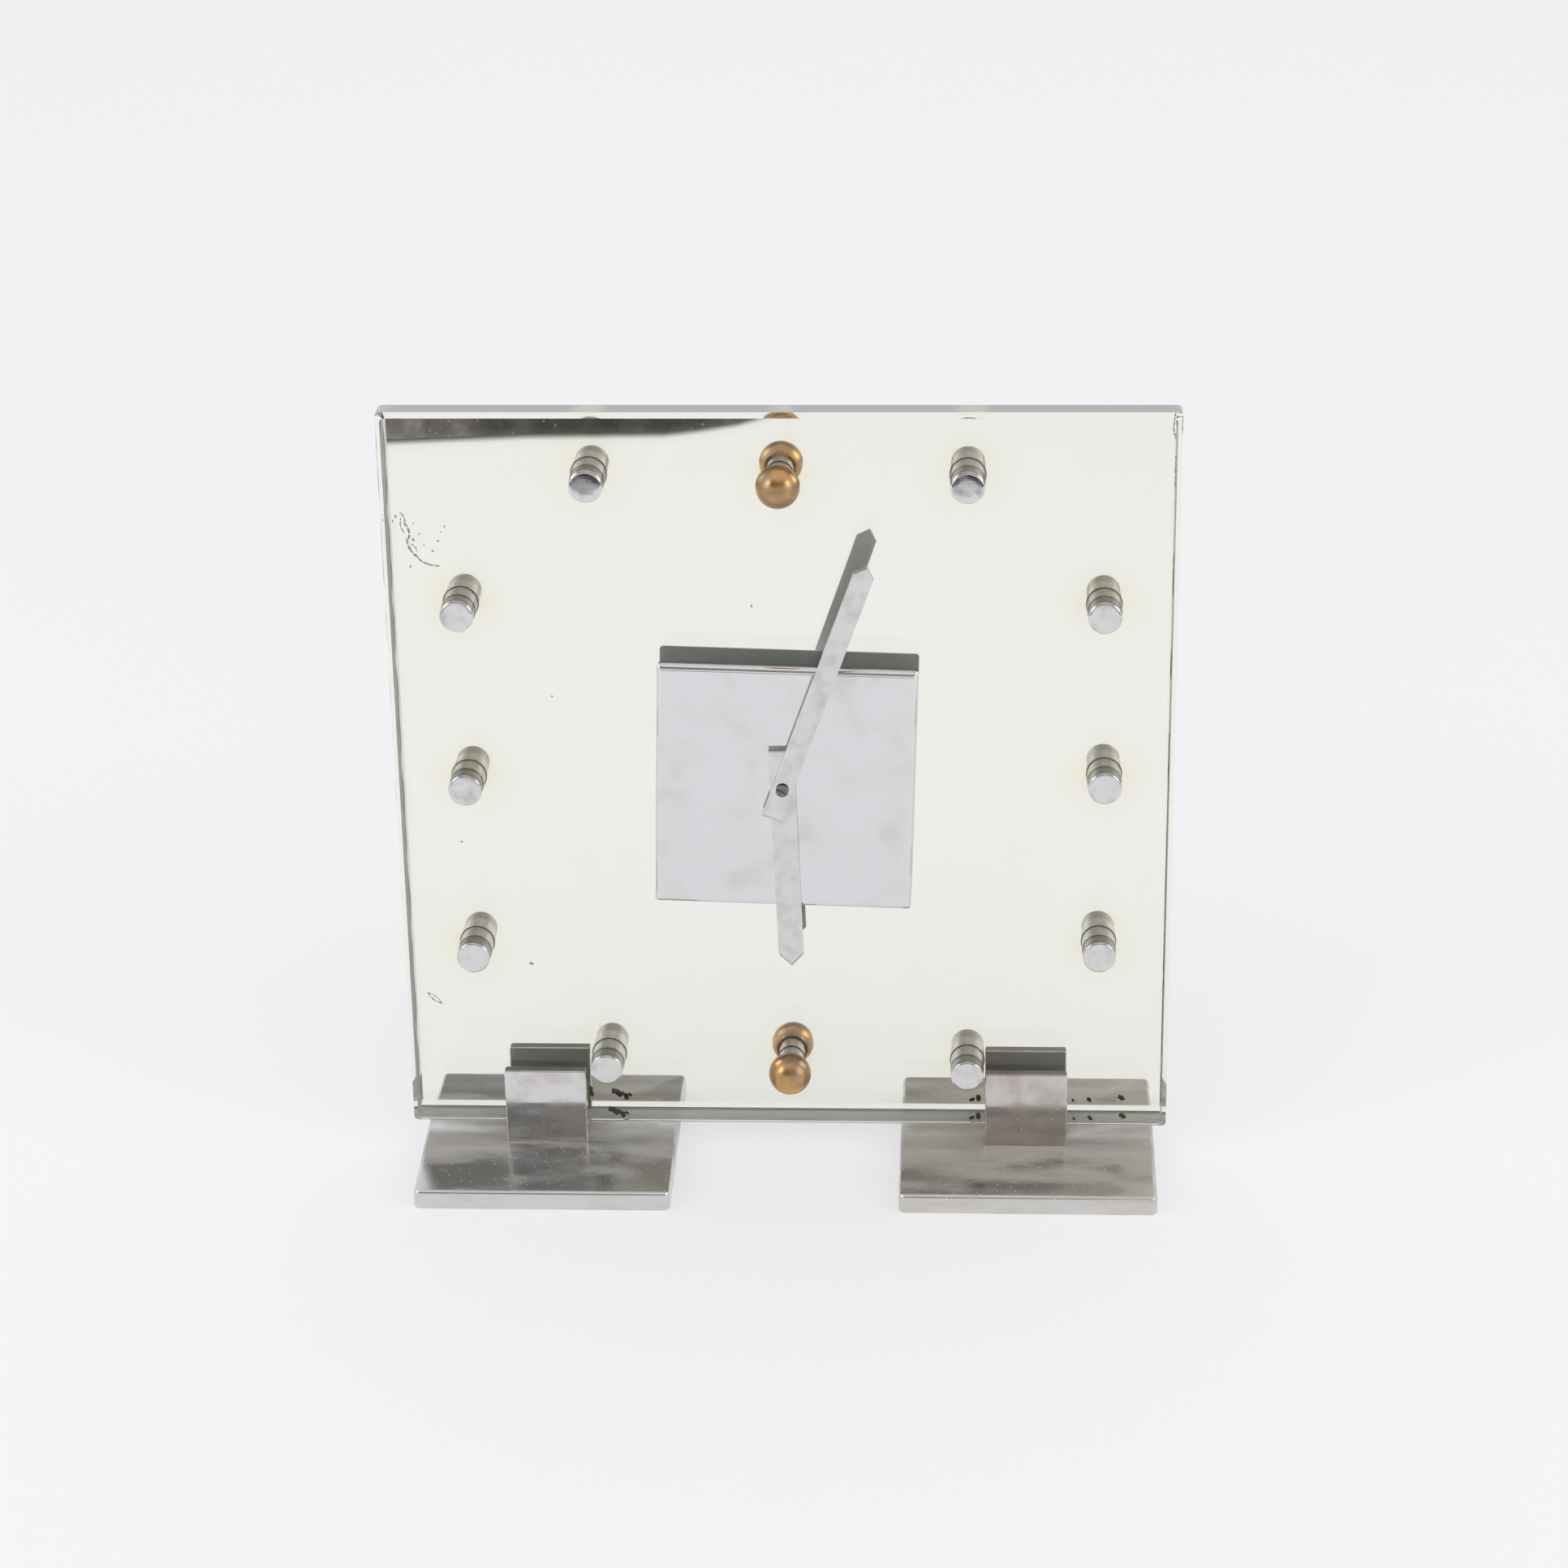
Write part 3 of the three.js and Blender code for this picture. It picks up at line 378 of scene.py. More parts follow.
def weld(mesh: Mesh) -> None:
    """Merges doubled points of a closed mesh and turns its faces outwards."""
    work = bmesh.new()
    work.from_mesh(mesh)
    bmesh.ops.remove_doubles(work, verts=work.verts, dist=WELD_DISTANCE)
    bmesh.ops.recalc_face_normals(work, faces=work.faces)
    work.to_mesh(mesh)
    work.free()


NUMBER, TINT, DIRECTION = "NodeSocketFloat", "NodeSocketColor", "NodeSocketVector"
# A Mix node holds inputs for every data type; these are the colour ones.
MIX_SHARE, MIX_FIRST, MIX_SECOND, MIX_COLOUR = 0, 6, 7, 2


class Graph:
    """A node tree being laid out, with short calls for its nodes and links."""

    def __init__(self, tree: NodeTree) -> None:
        """Starts on an empty tree."""
        self.tree = tree
        tree.nodes.clear()

    def node(
        self,
        kind: str,
        inputs: dict[str | int, object] | None = None,
        **settings: object,
    ) -> Node:
        """Adds a node.

        Args:
            kind: the node's type name without its ShaderNode start.
            inputs: values or sockets for its inputs, by name or number.
            settings: the node's own properties.
        Returns:
            The node.
        """
        node = self.tree.nodes.new(kind if kind.startswith("NodeGroup") else f"ShaderNode{kind}")
        for key, value in settings.items():
            setattr(node, key, value)
        return self.fill(node, inputs or {})

    def fill(self, node: Node, inputs: dict[str | int, object]) -> Node:
        """Feeds inputs of a node, by name or number, and returns the node."""
        for key, value in inputs.items():
            self.feed(node.inputs[key], value)
        return node

    def feed(self, socket: NodeSocket, value: object) -> None:
        """Links a socket to an input, or sets the input's own value."""
        if isinstance(value, NodeSocket):
            self.tree.links.new(value, socket)
        elif socket.type == "RGBA":
            socket.default_value = (*value, 1.0)
        else:
            socket.default_value = value

    def group(self, tree: NodeTree, inputs: dict[str, object]) -> Node:
        """Adds a node group with its inputs."""
        node = self.tree.nodes.new("ShaderNodeGroup")
        node.node_tree = tree
        return self.fill(node, inputs)

    def math(
        self,
        operation: str,
        first: object,
        second: object = 0.0,
        clamp: bool = False,
    ) -> NodeSocket:
        """The result of a Math node."""
        node = self.node("Math", {0: first, 1: second}, operation=operation, use_clamp=clamp)
        return node.outputs[0]

    def mix(self, share: object, first: object, second: object) -> NodeSocket:
        """A colour between two colours."""
        inputs = {MIX_SHARE: share, MIX_FIRST: first, MIX_SECOND: second}
        return self.node("Mix", inputs, data_type="RGBA").outputs[MIX_COLOUR]

    def ramp(
        self,
        value: object,
        low: object,
        high: object,
        start: object = 0.0,
        end: object = 1.0,
    ) -> NodeSocket:
        """A value carried smoothly from one range to another and held at its ends."""
        node = self.node(
            "MapRange",
            {"Value": value, "From Min": low, "From Max": high, "To Min": start, "To Max": end},
            interpolation_type="SMOOTHSTEP",
        )
        return node.outputs[0]

    def places(self) -> NodeSocket:
        """The object's own coordinates."""
        return self.node("TexCoord").outputs["Object"]

    def noise(
        self,
        scale: float,
        detail: float = 3.0,
        where: object = None,
        rough: float = 0.55,
    ) -> NodeSocket:
        """The value of a noise texture at a place."""
        inputs = {
            "Vector": where or self.places(),
            "Scale": scale,
            "Detail": detail,
            "Roughness": rough,
        }
        return self.node("TexNoise", inputs).outputs[0]

    def stretched(self, stretch: object) -> NodeSocket:
        """The object's own coordinates with x multiplied by a stretch."""
        scale = self.node("CombineXYZ", {0: stretch, 1: 1.0, 2: 1.0}).outputs[0]
        return self.node(
            "VectorMath", {0: self.places(), 1: scale}, operation="MULTIPLY"
        ).outputs[0]

    def grains(
        self,
        where: NodeSocket,
        scale: object,
        above: object,
        size: float,
        height: float = 1.0,
    ) -> NodeSocket:
        """Grains, one in each cell of a Voronoi pattern whose chance is above a number.

        Args:
            where: the places to look up.
            scale: cells in a unit of length.
            above: the chance, 0 to 1, that a cell has to beat.
            size: distance from the cell's point at which the grain ends.
            height: the mask's value in the middle of a grain.
        Returns:
            The mask.
        """
        cells = self.node("TexVoronoi", {"Vector": where, "Scale": scale})
        chance = self.node("SeparateColor", {0: cells.outputs["Color"]}).outputs[0]
        grain = self.ramp(cells.outputs["Distance"], size, GRAIN_CORE, 0.0, height)
        return self.math("MULTIPLY", self.math("GREATER_THAN", chance, above), grain)

    def shiny(self, path: Node) -> NodeSocket:
        """Whether a ray was mirrored or passed through glass, of a Light Path node."""
        return self.math(
            "MAXIMUM", path.outputs["Is Glossy Ray"], path.outputs["Is Transmission Ray"]
        )


def new_group(
    name: str,
    inputs: dict[str, tuple[str, object]],
    outputs: dict[str, str],
) -> tuple[NodeTree, Graph, Node, Node]:
    """Starts a shader node group.

    Args:
        name: its name.
        inputs: socket kind and starting value of each input.
        outputs: socket kind of each output.
    Returns:
        The group, its graph, its input node and its output node.
    """
    tree = bpy.data.node_groups.new(name, "ShaderNodeTree")
    for label, (kind, value) in inputs.items():
        socket = tree.interface.new_socket(label, in_out="INPUT", socket_type=kind)
        socket.default_value = value
    for label, kind in outputs.items():
        tree.interface.new_socket(label, in_out="OUTPUT", socket_type=kind)
    graph = Graph(tree)
    return tree, graph, tree.nodes.new("NodeGroupInput"), tree.nodes.new("NodeGroupOutput")


class Effects:
    """Shader node groups that several finishes share."""

    def __init__(self) -> None:
        """Builds every group once."""
        self.haze = self._haze()
        self.scratches = self._scratches()
        self.specks = self._specks()

    def _haze(self) -> NodeTree:
        """A film of haze and stains: a colour, and a roughness that grows where it lies."""
        tree, graph, given, result = new_group(
            "haze_film",
            {
                "Clean": (TINT, (0.8, 0.8, 0.8, 1)),
                "Film": (TINT, (0.5, 0.48, 0.45, 1)),
                "Scale": (NUMBER, 40.0),
                "Cover": (NUMBER, 0.3),
                "Roughness": (NUMBER, 0.05),
                "Film Roughness": (NUMBER, 0.2),
                "Stretch": (NUMBER, 1.0),
                "Softness": (NUMBER, 0.36),
            },
            {"Color": TINT, "Roughness": NUMBER, "Mask": NUMBER},
        )
        value = given.outputs
        where = graph.stretched(value["Stretch"])
        broad = graph.node("TexNoise", {"Vector": where, "Scale": value["Scale"], "Detail": 5.0})
        low = graph.math("SUBTRACT", 0.72, value["Cover"])
        mask = graph.ramp(broad.outputs[0], low, graph.math("ADD", low, value["Softness"]))
        ends = {"Value": mask, "To Min": value["Roughness"], "To Max": value["Film Roughness"]}
        rough = graph.node("MapRange", ends).outputs[0]
        colour = graph.mix(mask, value["Clean"], value["Film"])
        graph.fill(result, {"Color": colour, "Roughness": rough, "Mask": mask})
        return tree

    def _scratches(self) -> NodeTree:
        """Fine hairline scratches: noise stretched along x, as a bump in the normal."""
        tree, graph, given, result = new_group(
            "hairline_scratches",
            {"Scale": (NUMBER, 300.0), "Strength": (NUMBER, 0.05), "Stretch": (NUMBER, 0.04)},
            {"Normal": DIRECTION},
        )
        value = given.outputs
        lines = graph.noise(value["Scale"], 6.0, graph.stretched(value["Stretch"]), 0.7)
        bump = graph.node(
            "Bump", {"Height": lines, "Strength": value["Strength"], "Distance": 0.0002}
        )
        graph.fill(result, {"Normal": bump.outputs[0]})
        return tree

    def _specks(self) -> NodeTree:
        """Grains of dust: a share of the cells of a Voronoi pattern holds one each."""
        tree, graph, given, result = new_group(
            "dust_specks", {"Scale": (NUMBER, 740.0), "Share": (NUMBER, 0.1)}, {"Mask": NUMBER}
        )
        above = graph.math("SUBTRACT", 1.0, given.outputs["Share"])
        grains = graph.grains(graph.places(), given.outputs["Scale"], above, 0.26, 0.8)
        graph.fill(result, {"Mask": grains})
        return tree


def new_material(name: str) -> tuple[Material, Graph, Node]:
    """An empty material with a Principled shader.

    Args:
        name: the material's name.
    Returns:
        The material, its graph and its shader node.
    """
    material = bpy.data.materials.new(name)
    material.use_nodes = True
    graph = Graph(material.node_tree)
    shader = graph.node("BsdfPrincipled")
    graph.node("OutputMaterial", {"Surface": shader.outputs[0]})
    return material, graph, shader


@dataclass(frozen=True)
class PlatedMetal:
    """A plated or turned metal with a film of haze and hairline scratches."""

    name: str
    clean: Colour
    film: Colour
    cover: float = 0.3
    haze_scale: float = 40.0
    roughness: float = 0.06
    film_roughness: float = 0.2
    scratch: float = 0.04
    scratch_scale: float = 300.0
    stretch: float = 0.04
    film_metallic: float = 1.0
    haze_stretch: float = 1.0
    haze_softness: float = 0.36
    rear_cover: float | None = None
    rear_span: Span = (-0.048, -0.012)
    dust: float = 0.0
    dust_colour: Colour = (0.78, 0.76, 0.72)

    def build(self, effects: Effects) -> Material:
        """The material.

        Args:
            effects: the shared node groups.
        Returns:
            The finished material.
        """
        material, graph, shader = new_material(self.name)
        cover: object = self.cover
        if self.rear_cover is not None:
            depth = graph.node("SeparateXYZ", {0: graph.places()}).outputs[1]
            cover = graph.ramp(depth, *self.rear_span, self.cover, self.rear_cover)
        haze = graph.group(
            effects.haze,
            {
                "Clean": self.clean,
                "Film": self.film,
                "Scale": self.haze_scale,
                "Cover": cover,
                "Roughness": self.roughness,
                "Film Roughness": self.film_roughness,
                "Stretch": self.haze_stretch,
                "Softness": self.haze_softness,
            },
        )
        dust = graph.group(effects.specks, {"Share": self.dust}).outputs["Mask"]
        metal = graph.ramp(haze.outputs["Mask"], 0.0, 1.0, 1.0, self.film_metallic)
        lines = {"Scale": self.scratch_scale, "Strength": self.scratch, "Stretch": self.stretch}
        scratches = graph.group(effects.scratches, lines)
        surface = {
            "Base Color": graph.mix(dust, haze.outputs["Color"], self.dust_colour),
            "Roughness": haze.outputs["Roughness"],
            "Normal": scratches.outputs["Normal"],
            "Metallic": graph.math("SUBTRACT", metal, dust, clamp=True),
        }
        graph.fill(shader, surface)
        return material


@dataclass(frozen=True)
class PlateGlass:
    """Clear plate glass, polished or ground."""

    name: str
    colour: Colour
    roughness: float
    grain: float = 0.0
    clearness: float = 1.0

    def build(self, effects: Effects) -> Material:
        """The material: a plain transmitting shader, with a grain on ground faces."""
        material, graph, shader = new_material(self.name)
        if self.grain:
            rough = graph.ramp(
                graph.noise(900.0, 4.0), *NOISE_SPAN, self.roughness - self.grain, self.roughness
            )
        else:
            rough = graph.ramp(
                graph.noise(25.0, 3.0), 0.74, 0.86, self.roughness, self.roughness + 0.03
            )
        surface = {
            "Base Color": self.colour,
            "Metallic": 0.0,
            "Transmission Weight": self.clearness,
            "IOR": GLASS_INDEX,
            "Roughness": rough,
        }
        graph.fill(shader, surface)
        return material


@dataclass(frozen=True)
class MirrorSilver:
    """The silver seen through the glass: warm where it has aged near holes and edges."""

    name: str = "aged_silver"
    clean: Colour = (0.965, 0.957, 0.932)
    aged: Colour = (0.918, 0.865, 0.66)

    def build(self, effects: Effects) -> Material:
        """The material, driven by the sheet's own wear value."""
        material, graph, shader = new_material(self.name)
        wear = graph.node("Attribute", attribute_name="wear").outputs["Fac"]
        patchy = graph.math(
            "MULTIPLY", wear, graph.ramp(graph.noise(45.0, 4.0), *NOISE_SPAN, 0.5, 1.0)
        )
        colour = graph.mix(patchy, self.clean, self.aged)
        graph.fill(shader, {"Base Color": colour, "Roughness": 0.0, "Metallic": 1.0})
        return material


@dataclass(frozen=True)
class Painted:
    """A satin paint or a plain soft material, with a fine grain."""

    name: str
    colour: Colour
    roughness: float = 0.5
    grain_scale: float = 600.0
    grain: float = 0.08

    def build(self, effects: Effects) -> Material:
        """The material: a colour that varies a little and a grain in the normal."""
        material, graph, shader = new_material(self.name)
        value = graph.noise(self.grain_scale / 10, 4.0)
        darker = tuple(part * 0.8 for part in self.colour)
        rough = graph.ramp(value, *NOISE_SPAN, self.roughness - 0.06, self.roughness + 0.06)
        grain = graph.noise(self.grain_scale, 3.0)
        bump = graph.node("Bump", {"Height": grain, "Strength": self.grain, "Distance": 0.0003})
        colour = graph.mix(value, self.colour, darker)
        graph.fill(shader, {"Base Color": colour, "Roughness": rough, "Normal": bump.outputs[0]})
        return material


class Finishes:
    """Every finish of the clock: its recipe, built once and handed out by name."""

    recipes: dict[str, PlatedMetal | PlateGlass | MirrorSilver | Painted] = {
        "glass": PlateGlass("polished_plate_glass", (0.985, 0.995, 0.98), 0.0),
        "edge_glass": PlateGlass("worked_glass_edge", (0.80, 0.85, 0.78), 0.34, 0.06, 0.6),
        "ground_glass": PlateGlass("ground_glass", (0.66, 0.66, 0.55), 0.36, 0.05, 0.72),
        "silver": MirrorSilver(),
        "chrome": PlatedMetal(
            "polished_chrome", (0.745, 0.741, 0.757), (0.66, 0.645, 0.64),
            0.25, 60.0, 0.04, 0.12, 0.02,
        ),
        "peg_chrome": PlatedMetal(
            "peg_chrome", (0.72, 0.712, 0.712), (0.55, 0.53, 0.51),
            0.3, 150.0, 0.05, 0.2, 0.03, dust=0.03,
        ),
        "peg_side": PlatedMetal(
            "peg_side_chrome", (0.66, 0.655, 0.63), (0.50, 0.495, 0.45),
            0.4, 150.0, 0.34, 0.46, 0.03, dust=0.03,
        ),
        "clip_chrome": PlatedMetal(
            "clip_chrome", (0.72, 0.715, 0.715), (0.60, 0.57, 0.55),
            0.34, 90.0, 0.05, 0.16, 0.03, dust=0.05,
        ),
        "worn_clip_chrome": PlatedMetal(
            "worn_clip_chrome", (0.61, 0.592, 0.578), (0.52, 0.47, 0.43),
            0.4, 90.0, 0.05, 0.2, 0.03, dust=0.06,
        ),
        "hand_chrome": PlatedMetal(
            "hand_chrome", (0.705, 0.702, 0.702), (0.60, 0.59, 0.58),
            0.34, 160.0, 0.08, 0.22, 0.05,
        ),
        "foot_chrome": PlatedMetal(
            "foot_chrome", (0.68, 0.68, 0.68), (0.40, 0.37, 0.33),
            0.3, 90.0, 0.2, 0.4, 0.04, film_metallic=0.15, haze_stretch=0.35, haze_softness=0.62,
            rear_cover=0.56, dust=0.22,
        ),
        "worn_foot_chrome": PlatedMetal(
            "worn_foot_chrome", (0.70, 0.69, 0.67), (0.42, 0.375, 0.32),
            0.46, 90.0, 0.2, 0.4, 0.04, film_metallic=0.15, haze_stretch=0.35, haze_softness=0.62,
            rear_cover=0.6, dust=0.22,
        ),
        # Painted light: the bare backs of the hands and plate are made near white, making up for
        # the light that the glass and silver keep from them.
        "bare_back": Painted("unplated_painted_light_back", (0.90, 0.945, 0.93), 0.6, 200.0, 0.05),
        "bare_slot": Painted("unplated_slot", (0.66, 0.64, 0.60), 0.6, 200.0, 0.05),
        "copper": PlatedMetal(
            "copper_plate", (0.62, 0.355, 0.135), (0.40, 0.28, 0.17),
            0.42, 140.0, 0.26, 0.4, 0.03,
        ),
        "brass": PlatedMetal(
            "turned_brass", (0.70, 0.55, 0.28), (0.48, 0.38, 0.2),
            0.3, 60.0, 0.25, 0.4, 0.06,
        ),
        "steel": PlatedMetal(
            "turned_steel", (0.55, 0.55, 0.56), (0.36, 0.35, 0.34),
            0.3, 80.0, 0.25, 0.42, 0.06,
        ),
        "dull_steel": PlatedMetal(
            "dull_steel", (0.30, 0.31, 0.29), (0.18, 0.18, 0.17),
            0.4, 200.0, 0.35, 0.5, 0.08,
        ),
        "backing": Painted("backing_paint", (0.16, 0.13, 0.11), 0.62, 300.0, 0.12),
        # Painted light: the paint lap on the back bevel is made near white, making up for the shade
        # that the glass casts on the bevel.
        "lap_paint_with_painted_light": Painted("lap_paint_with_painted_light", (0.86, 0.87, 0.80), 0.6, 260.0, 0.1),
        "lost_silver": Painted("lost_silver", (0.50, 0.485, 0.45), 0.6, 2200.0, 0.1),
        "grime": Painted("dried_grime", (0.05, 0.035, 0.022), 0.7, 1500.0, 0.3),
        "case_paint": Painted("case_paint", (0.03, 0.03, 0.032), 0.38, 500.0, 0.1),
        "rubber": Painted("slot_rubber", (0.03, 0.028, 0.026), 0.75, 700.0, 0.2),
    }

    def __init__(self) -> None:
        """Builds the shared groups and the materials."""
        effects = Effects()
        self.built = {name: recipe.build(effects) for name, recipe in self.recipes.items()}

    def __getitem__(self, name: str) -> Material:
        """The material of a name."""
        return self.built[name]


@dataclass
class DialPlan:
    """Where the hour marks and the hands' axis lie on the glass."""

    centre: tuple[float, float] = (0.2, 0.05)
    half: float = 124.6
    drift: dict[int, tuple[float, float]] = field(
        default_factory=lambda: {
            3: (1.0, 0.9),
            5: (0.5, -1.0),
            6: (1.2, -0.7),
            7: (-0.9, 0.8),
            8: (0.0, -2.0),
            9: (0.0, -1.1),
            11: (-1.1, 0.3),
        }
    )
    copper_hours: tuple[int, int] = (6, 12)

    def mark(self, hour: int) -> tuple[float, float]:
        """Where an hour's hole is drilled: on a square path, plus its drift."""
        angle = hour * math.pi / 6
        sine, cosine = math.sin(angle), math.cos(angle)
        reach = self.half / max(abs(sine), abs(cosine))
        right, up = self.drift.get(hour, (0.0, 0.0))
        return self.centre[0] + reach * sine + right, self.centre[1] + reach * cosine + up

    @property
    def marks(self) -> dict[int, tuple[float, float]]:
        """Every hour with its place."""
        return {hour: self.mark(hour) for hour in range(1, 13)}


PLAN = DialPlan()


@dataclass
class MirrorPlate:
    """The glass square and its silvered back."""

    width: float = 306.0
    height: float = GLASS_HEIGHT
    thickness: float = GLASS_THICKNESS
    arris: float = 1.9
    corner: float = 1.6
    hole_radius: float = 6.7
    neck_hole_radius: float = 5.2
    bare_rim: float = 0.4
    bush_hole_radius: float = 5.5
    silver_gap: float = 0.06
    silver_back: float = 13.5
    hole_steps: int = 64
    halo_radius: float = 24.0
    halo_rings: int = 14
    hole_wear: Span = (7.0, 0.9)
    edge_wear: Span = (2.5, 0.5)
    strips: tuple[tuple[tuple[float, float], tuple[float, float], float, float], ...] = (
        ((-150.9, 147.0), (-150.9, 60.0), 1.0, 0.0),
        ((-150.9, 66.0), (-150.9, -40.0), 0.8, 0.0),
        ((-150.9, -36.0), (-150.9, -149.0), 0.9, 0.0),
        ((150.6, 150.5), (149.7, 143.0), 0.8, 0.0),
        ((149.7, 143.4), (150.7, 139.0), 0.9, 0.0),
        ((150.85, 132.5), (150.85, 119.0), 0.7, 0.0),
        ((-146.4, 109.5), (-144.6, 104.0), 0.9, 0.8),
        ((-144.9, 105.0), (-143.4, 98.0), 1.3, 1.0),
        ((-146.0, 107.0), (-144.8, 100.5), 0.7, -0.8),
        ((-144.2, 98.5), (-139.8, 90.5), 1.3, -1.1),
        ((-143.0, 96.5), (-140.4, 93.0), 0.7, 0.7),
        ((-140.3, 90.6), (-135.8, 88.0), 1.0, -0.5),
        ((-137.4, 88.2), (-131.6, 87.2), 0.9, -0.2),
        ((-145.7, -96.6), (-139.5, -101.8), 0.8, -1.0),
        ((-145.2, -97.0), (-140.2, -101.4), 0.5, 0.7),
    )
    spots: tuple[tuple[float, float, float], ...] = (
        (-102.9, -83.4, 0.75),
        (-128.7, -29.7, 0.45),
        (-90.3, 32.9, 0.4),
        (-11.4, 70.9, 0.5),
        (-141.6, 98.0, 0.6),
        (-139.2, 100.4, 0.35),
        (-141.2, 104.8, 0.3),
        (-132.0, 97.5, 0.45),
        (-129.3, 103.5, 0.35),
        (-130.8, 101.0, 0.3),
        (-134.3, 93.4, 0.4),
        (-143.2, 87.0, 0.4),
        (-148.0, 107.5, 0.5),
        (-149.2, 105.6, 0.4),
        (-137.6, 96.0, 0.3),
    )
    grime: tuple[tuple[float, float, float], ...] = (
        (-71.3, -145.4, 1.7),
        (-69.4, -146.6, 1.3),
        (-67.2, -147.6, 1.3),
        (-65.6, -146.8, 0.8),
        (-80.0, -136.0, 1.0),
        (-79.7, -138.2, 1.1),
        (74.6, -147.8, 1.0),
        (77.2, -147.0, 1.3),
        (115.8, -147.8, 0.6),
        (122.3, -147.4, 1.0),
        (135.4, -146.4, 1.3),
    )
    grime_height: float = 0.25
    grime_rim: float = -0.02

    def holes(self) -> list[tuple[tuple[float, float], float]]:
        """The middle and radius of every hole."""
        radii = {
            hour: self.neck_hole_radius if hour in PLAN.copper_hours else self.hole_radius
            for hour in PLAN.marks
        }
        drilled = [(place, radii[hour]) for hour, place in PLAN.marks.items()]
        return [*drilled, (PLAN.centre, self.bush_hole_radius)]

    def circle(self, middle: tuple[float, float], radius: float) -> Array:
        """A loop round a hole."""
        return ring(radius, self.hole_steps, middle)

    def loop(self, inset: float) -> Array:
        """The rectangle of the glass, drawn in by an inset, with its corners dubbed."""
        return rounded_loop(self.width - 2 * inset, self.height - 2 * inset, self.corner, 3)

    def build_glass(self, finishes: Finishes) -> Object:
        """The glass: two flat faces with holes, arrised edges, and ground hole walls."""
        shell = Shell()
        circles = [self.circle(middle, radius) for middle, radius in self.holes()]
        edge = [
            (self.arris, 0.0),
            (0.0, self.arris),
            (0.0, self.thickness - self.arris),
            (self.arris, self.thickness),
        ]
        for inset, depth in (edge[0], edge[-1]):
            shell.sheet(self.loop(inset), circles, depth)
        # The back bevel takes the paint lap (material 3), whose pale tone is painted light.
        for finish, band in ((0, edge[:2]), (2, edge[1:3]), (3, edge[2:])):
            shell.skin(np.stack([lift(self.loop(inset), depth) for inset, depth in band]), finish)
        depths = np.linspace(0, self.thickness, 5)
        for circle in circles:
            shell.skin(np.stack([lift(circle, depth) for depth in depths]), 1)
        return finish_piece(
            "plate_glass",
            shell,
            [
                finishes["glass"],
                finishes["ground_glass"],
                finishes["edge_glass"],
                finishes["lap_paint_with_painted_light"],
            ],
            Body.CLOCK,
            ["mirror_glass"],
        )

    def wear_at(self, points: Array) -> Array:
        """How aged the silver is: it falls off from the holes and from the edges."""
        holes = np.array(list(PLAN.marks.values()))
        gaps = np.linalg.norm(points[:, None, :] - holes[None], axis=2)
        away = gaps.min(axis=1) - self.hole_radius
        edge = np.minimum(self.width / 2 - abs(points[:, 0]), self.height / 2 - abs(points[:, 1]))
        (hole_reach, hole_share), (edge_reach, edge_share) = self.hole_wear, self.edge_wear
        wear = np.exp(-away / hole_reach) * hole_share + np.exp(-edge / edge_reach) * edge_share
        return np.clip(wear, 0, 1)

    def build_silver(self, finishes: Finishes) -> Object:
        """The silver sheet, with rings of points round each hole, and the paint behind it."""
        shell = Shell()
        inset = self.arris
        front = self.thickness + self.silver_gap
        flat, triangles = self.sheet_grid(inset)
        shell.add(lift(flat, front), triangles, 0, wear=self.wear_at(flat))
        back = [self.circle(middle, radius + self.bare_rim) for middle, radius in self.holes()]
        shell.sheet(self.loop(inset), back, self.silver_back, 1)
        for loop in (self.loop(inset), *back):
            shell.wall(loop, front, self.silver_back, 1)
        for rows in self.bare_patches():
            shell.skin(rows, 2, False)
        for spot in self.grime:
            shell.skin(self.blot(spot, -self.grime_height, self.grime_rim), 3, False)
        coats = [
            finishes["silver"],
            finishes["backing"],
            finishes["lost_silver"],
            finishes["grime"],
        ]
        return finish_piece(
            "silvered_back", shell, coats, Body.CLOCK, ["silver_backing"]
        )

    def bare_patches(self) -> list[Array]:
        """Patches where the silver has gone: uneven strips along the sides, and spots.

        A strip follows its line from start to end, and its width at a share s of the way
        is the given width times 0.55 + 0.45 sin(a s) sin(b s), and runs out at both ends.
        """
        depth = self.thickness + self.silver_gap / 2
        patches = []
        for start, end, width, bow in self.strips:
            share = np.linspace(0, 1, 60)[:, None]
            line = np.array(start) + (np.array(end) - start) * share
            along = (np.array(end) - start) / math.dist(start, end)
            across = np.array([-along[1], along[0]])
            line = line + across * bow * np.sin(math.pi * share)
            wave = 0.55 + 0.45 * np.sin(23 * share + width) * np.sin(7.3 * share + 2 * start[1])
            half = across * width / 2 * wave * np.sqrt(np.clip(np.sin(math.pi * share) * 6, 0, 1))
            patches.append(np.stack([lift(line - half, depth), lift(line + half, depth)]))
        patches.extend(self.blot(spot, depth, depth) for spot in self.spots)
        return patches

    def blot(
        self,
        spot: tuple[float, float, float],
        middle_depth: float,
        rim_depth: float,
    ) -> Array:
        """A round patch with an uneven rim.

        The rim's reach at angle a is the radius times 1 + 0.25 sin(2a + x) + 0.15 sin(5a + z).

        Args:
            spot: x, z and radius.
            middle_depth: depth of its middle.
            rim_depth: depth of its rim.
        Returns:
            Two rows of points: the middle, repeated, and the rim.
        """
        x, z, radius = spot
        turn = np.linspace(0, 2 * math.pi, 17)
        reach = radius * (1 + 0.25 * np.sin(2 * turn + x) + 0.15 * np.sin(5 * turn + z))
        rim = np.stack([x + reach * np.sin(turn), z + reach * np.cos(turn)], axis=1)
        return np.stack(
            [lift(np.broadcast_to([x, z], rim.shape), middle_depth), lift(rim, rim_depth)]
        )

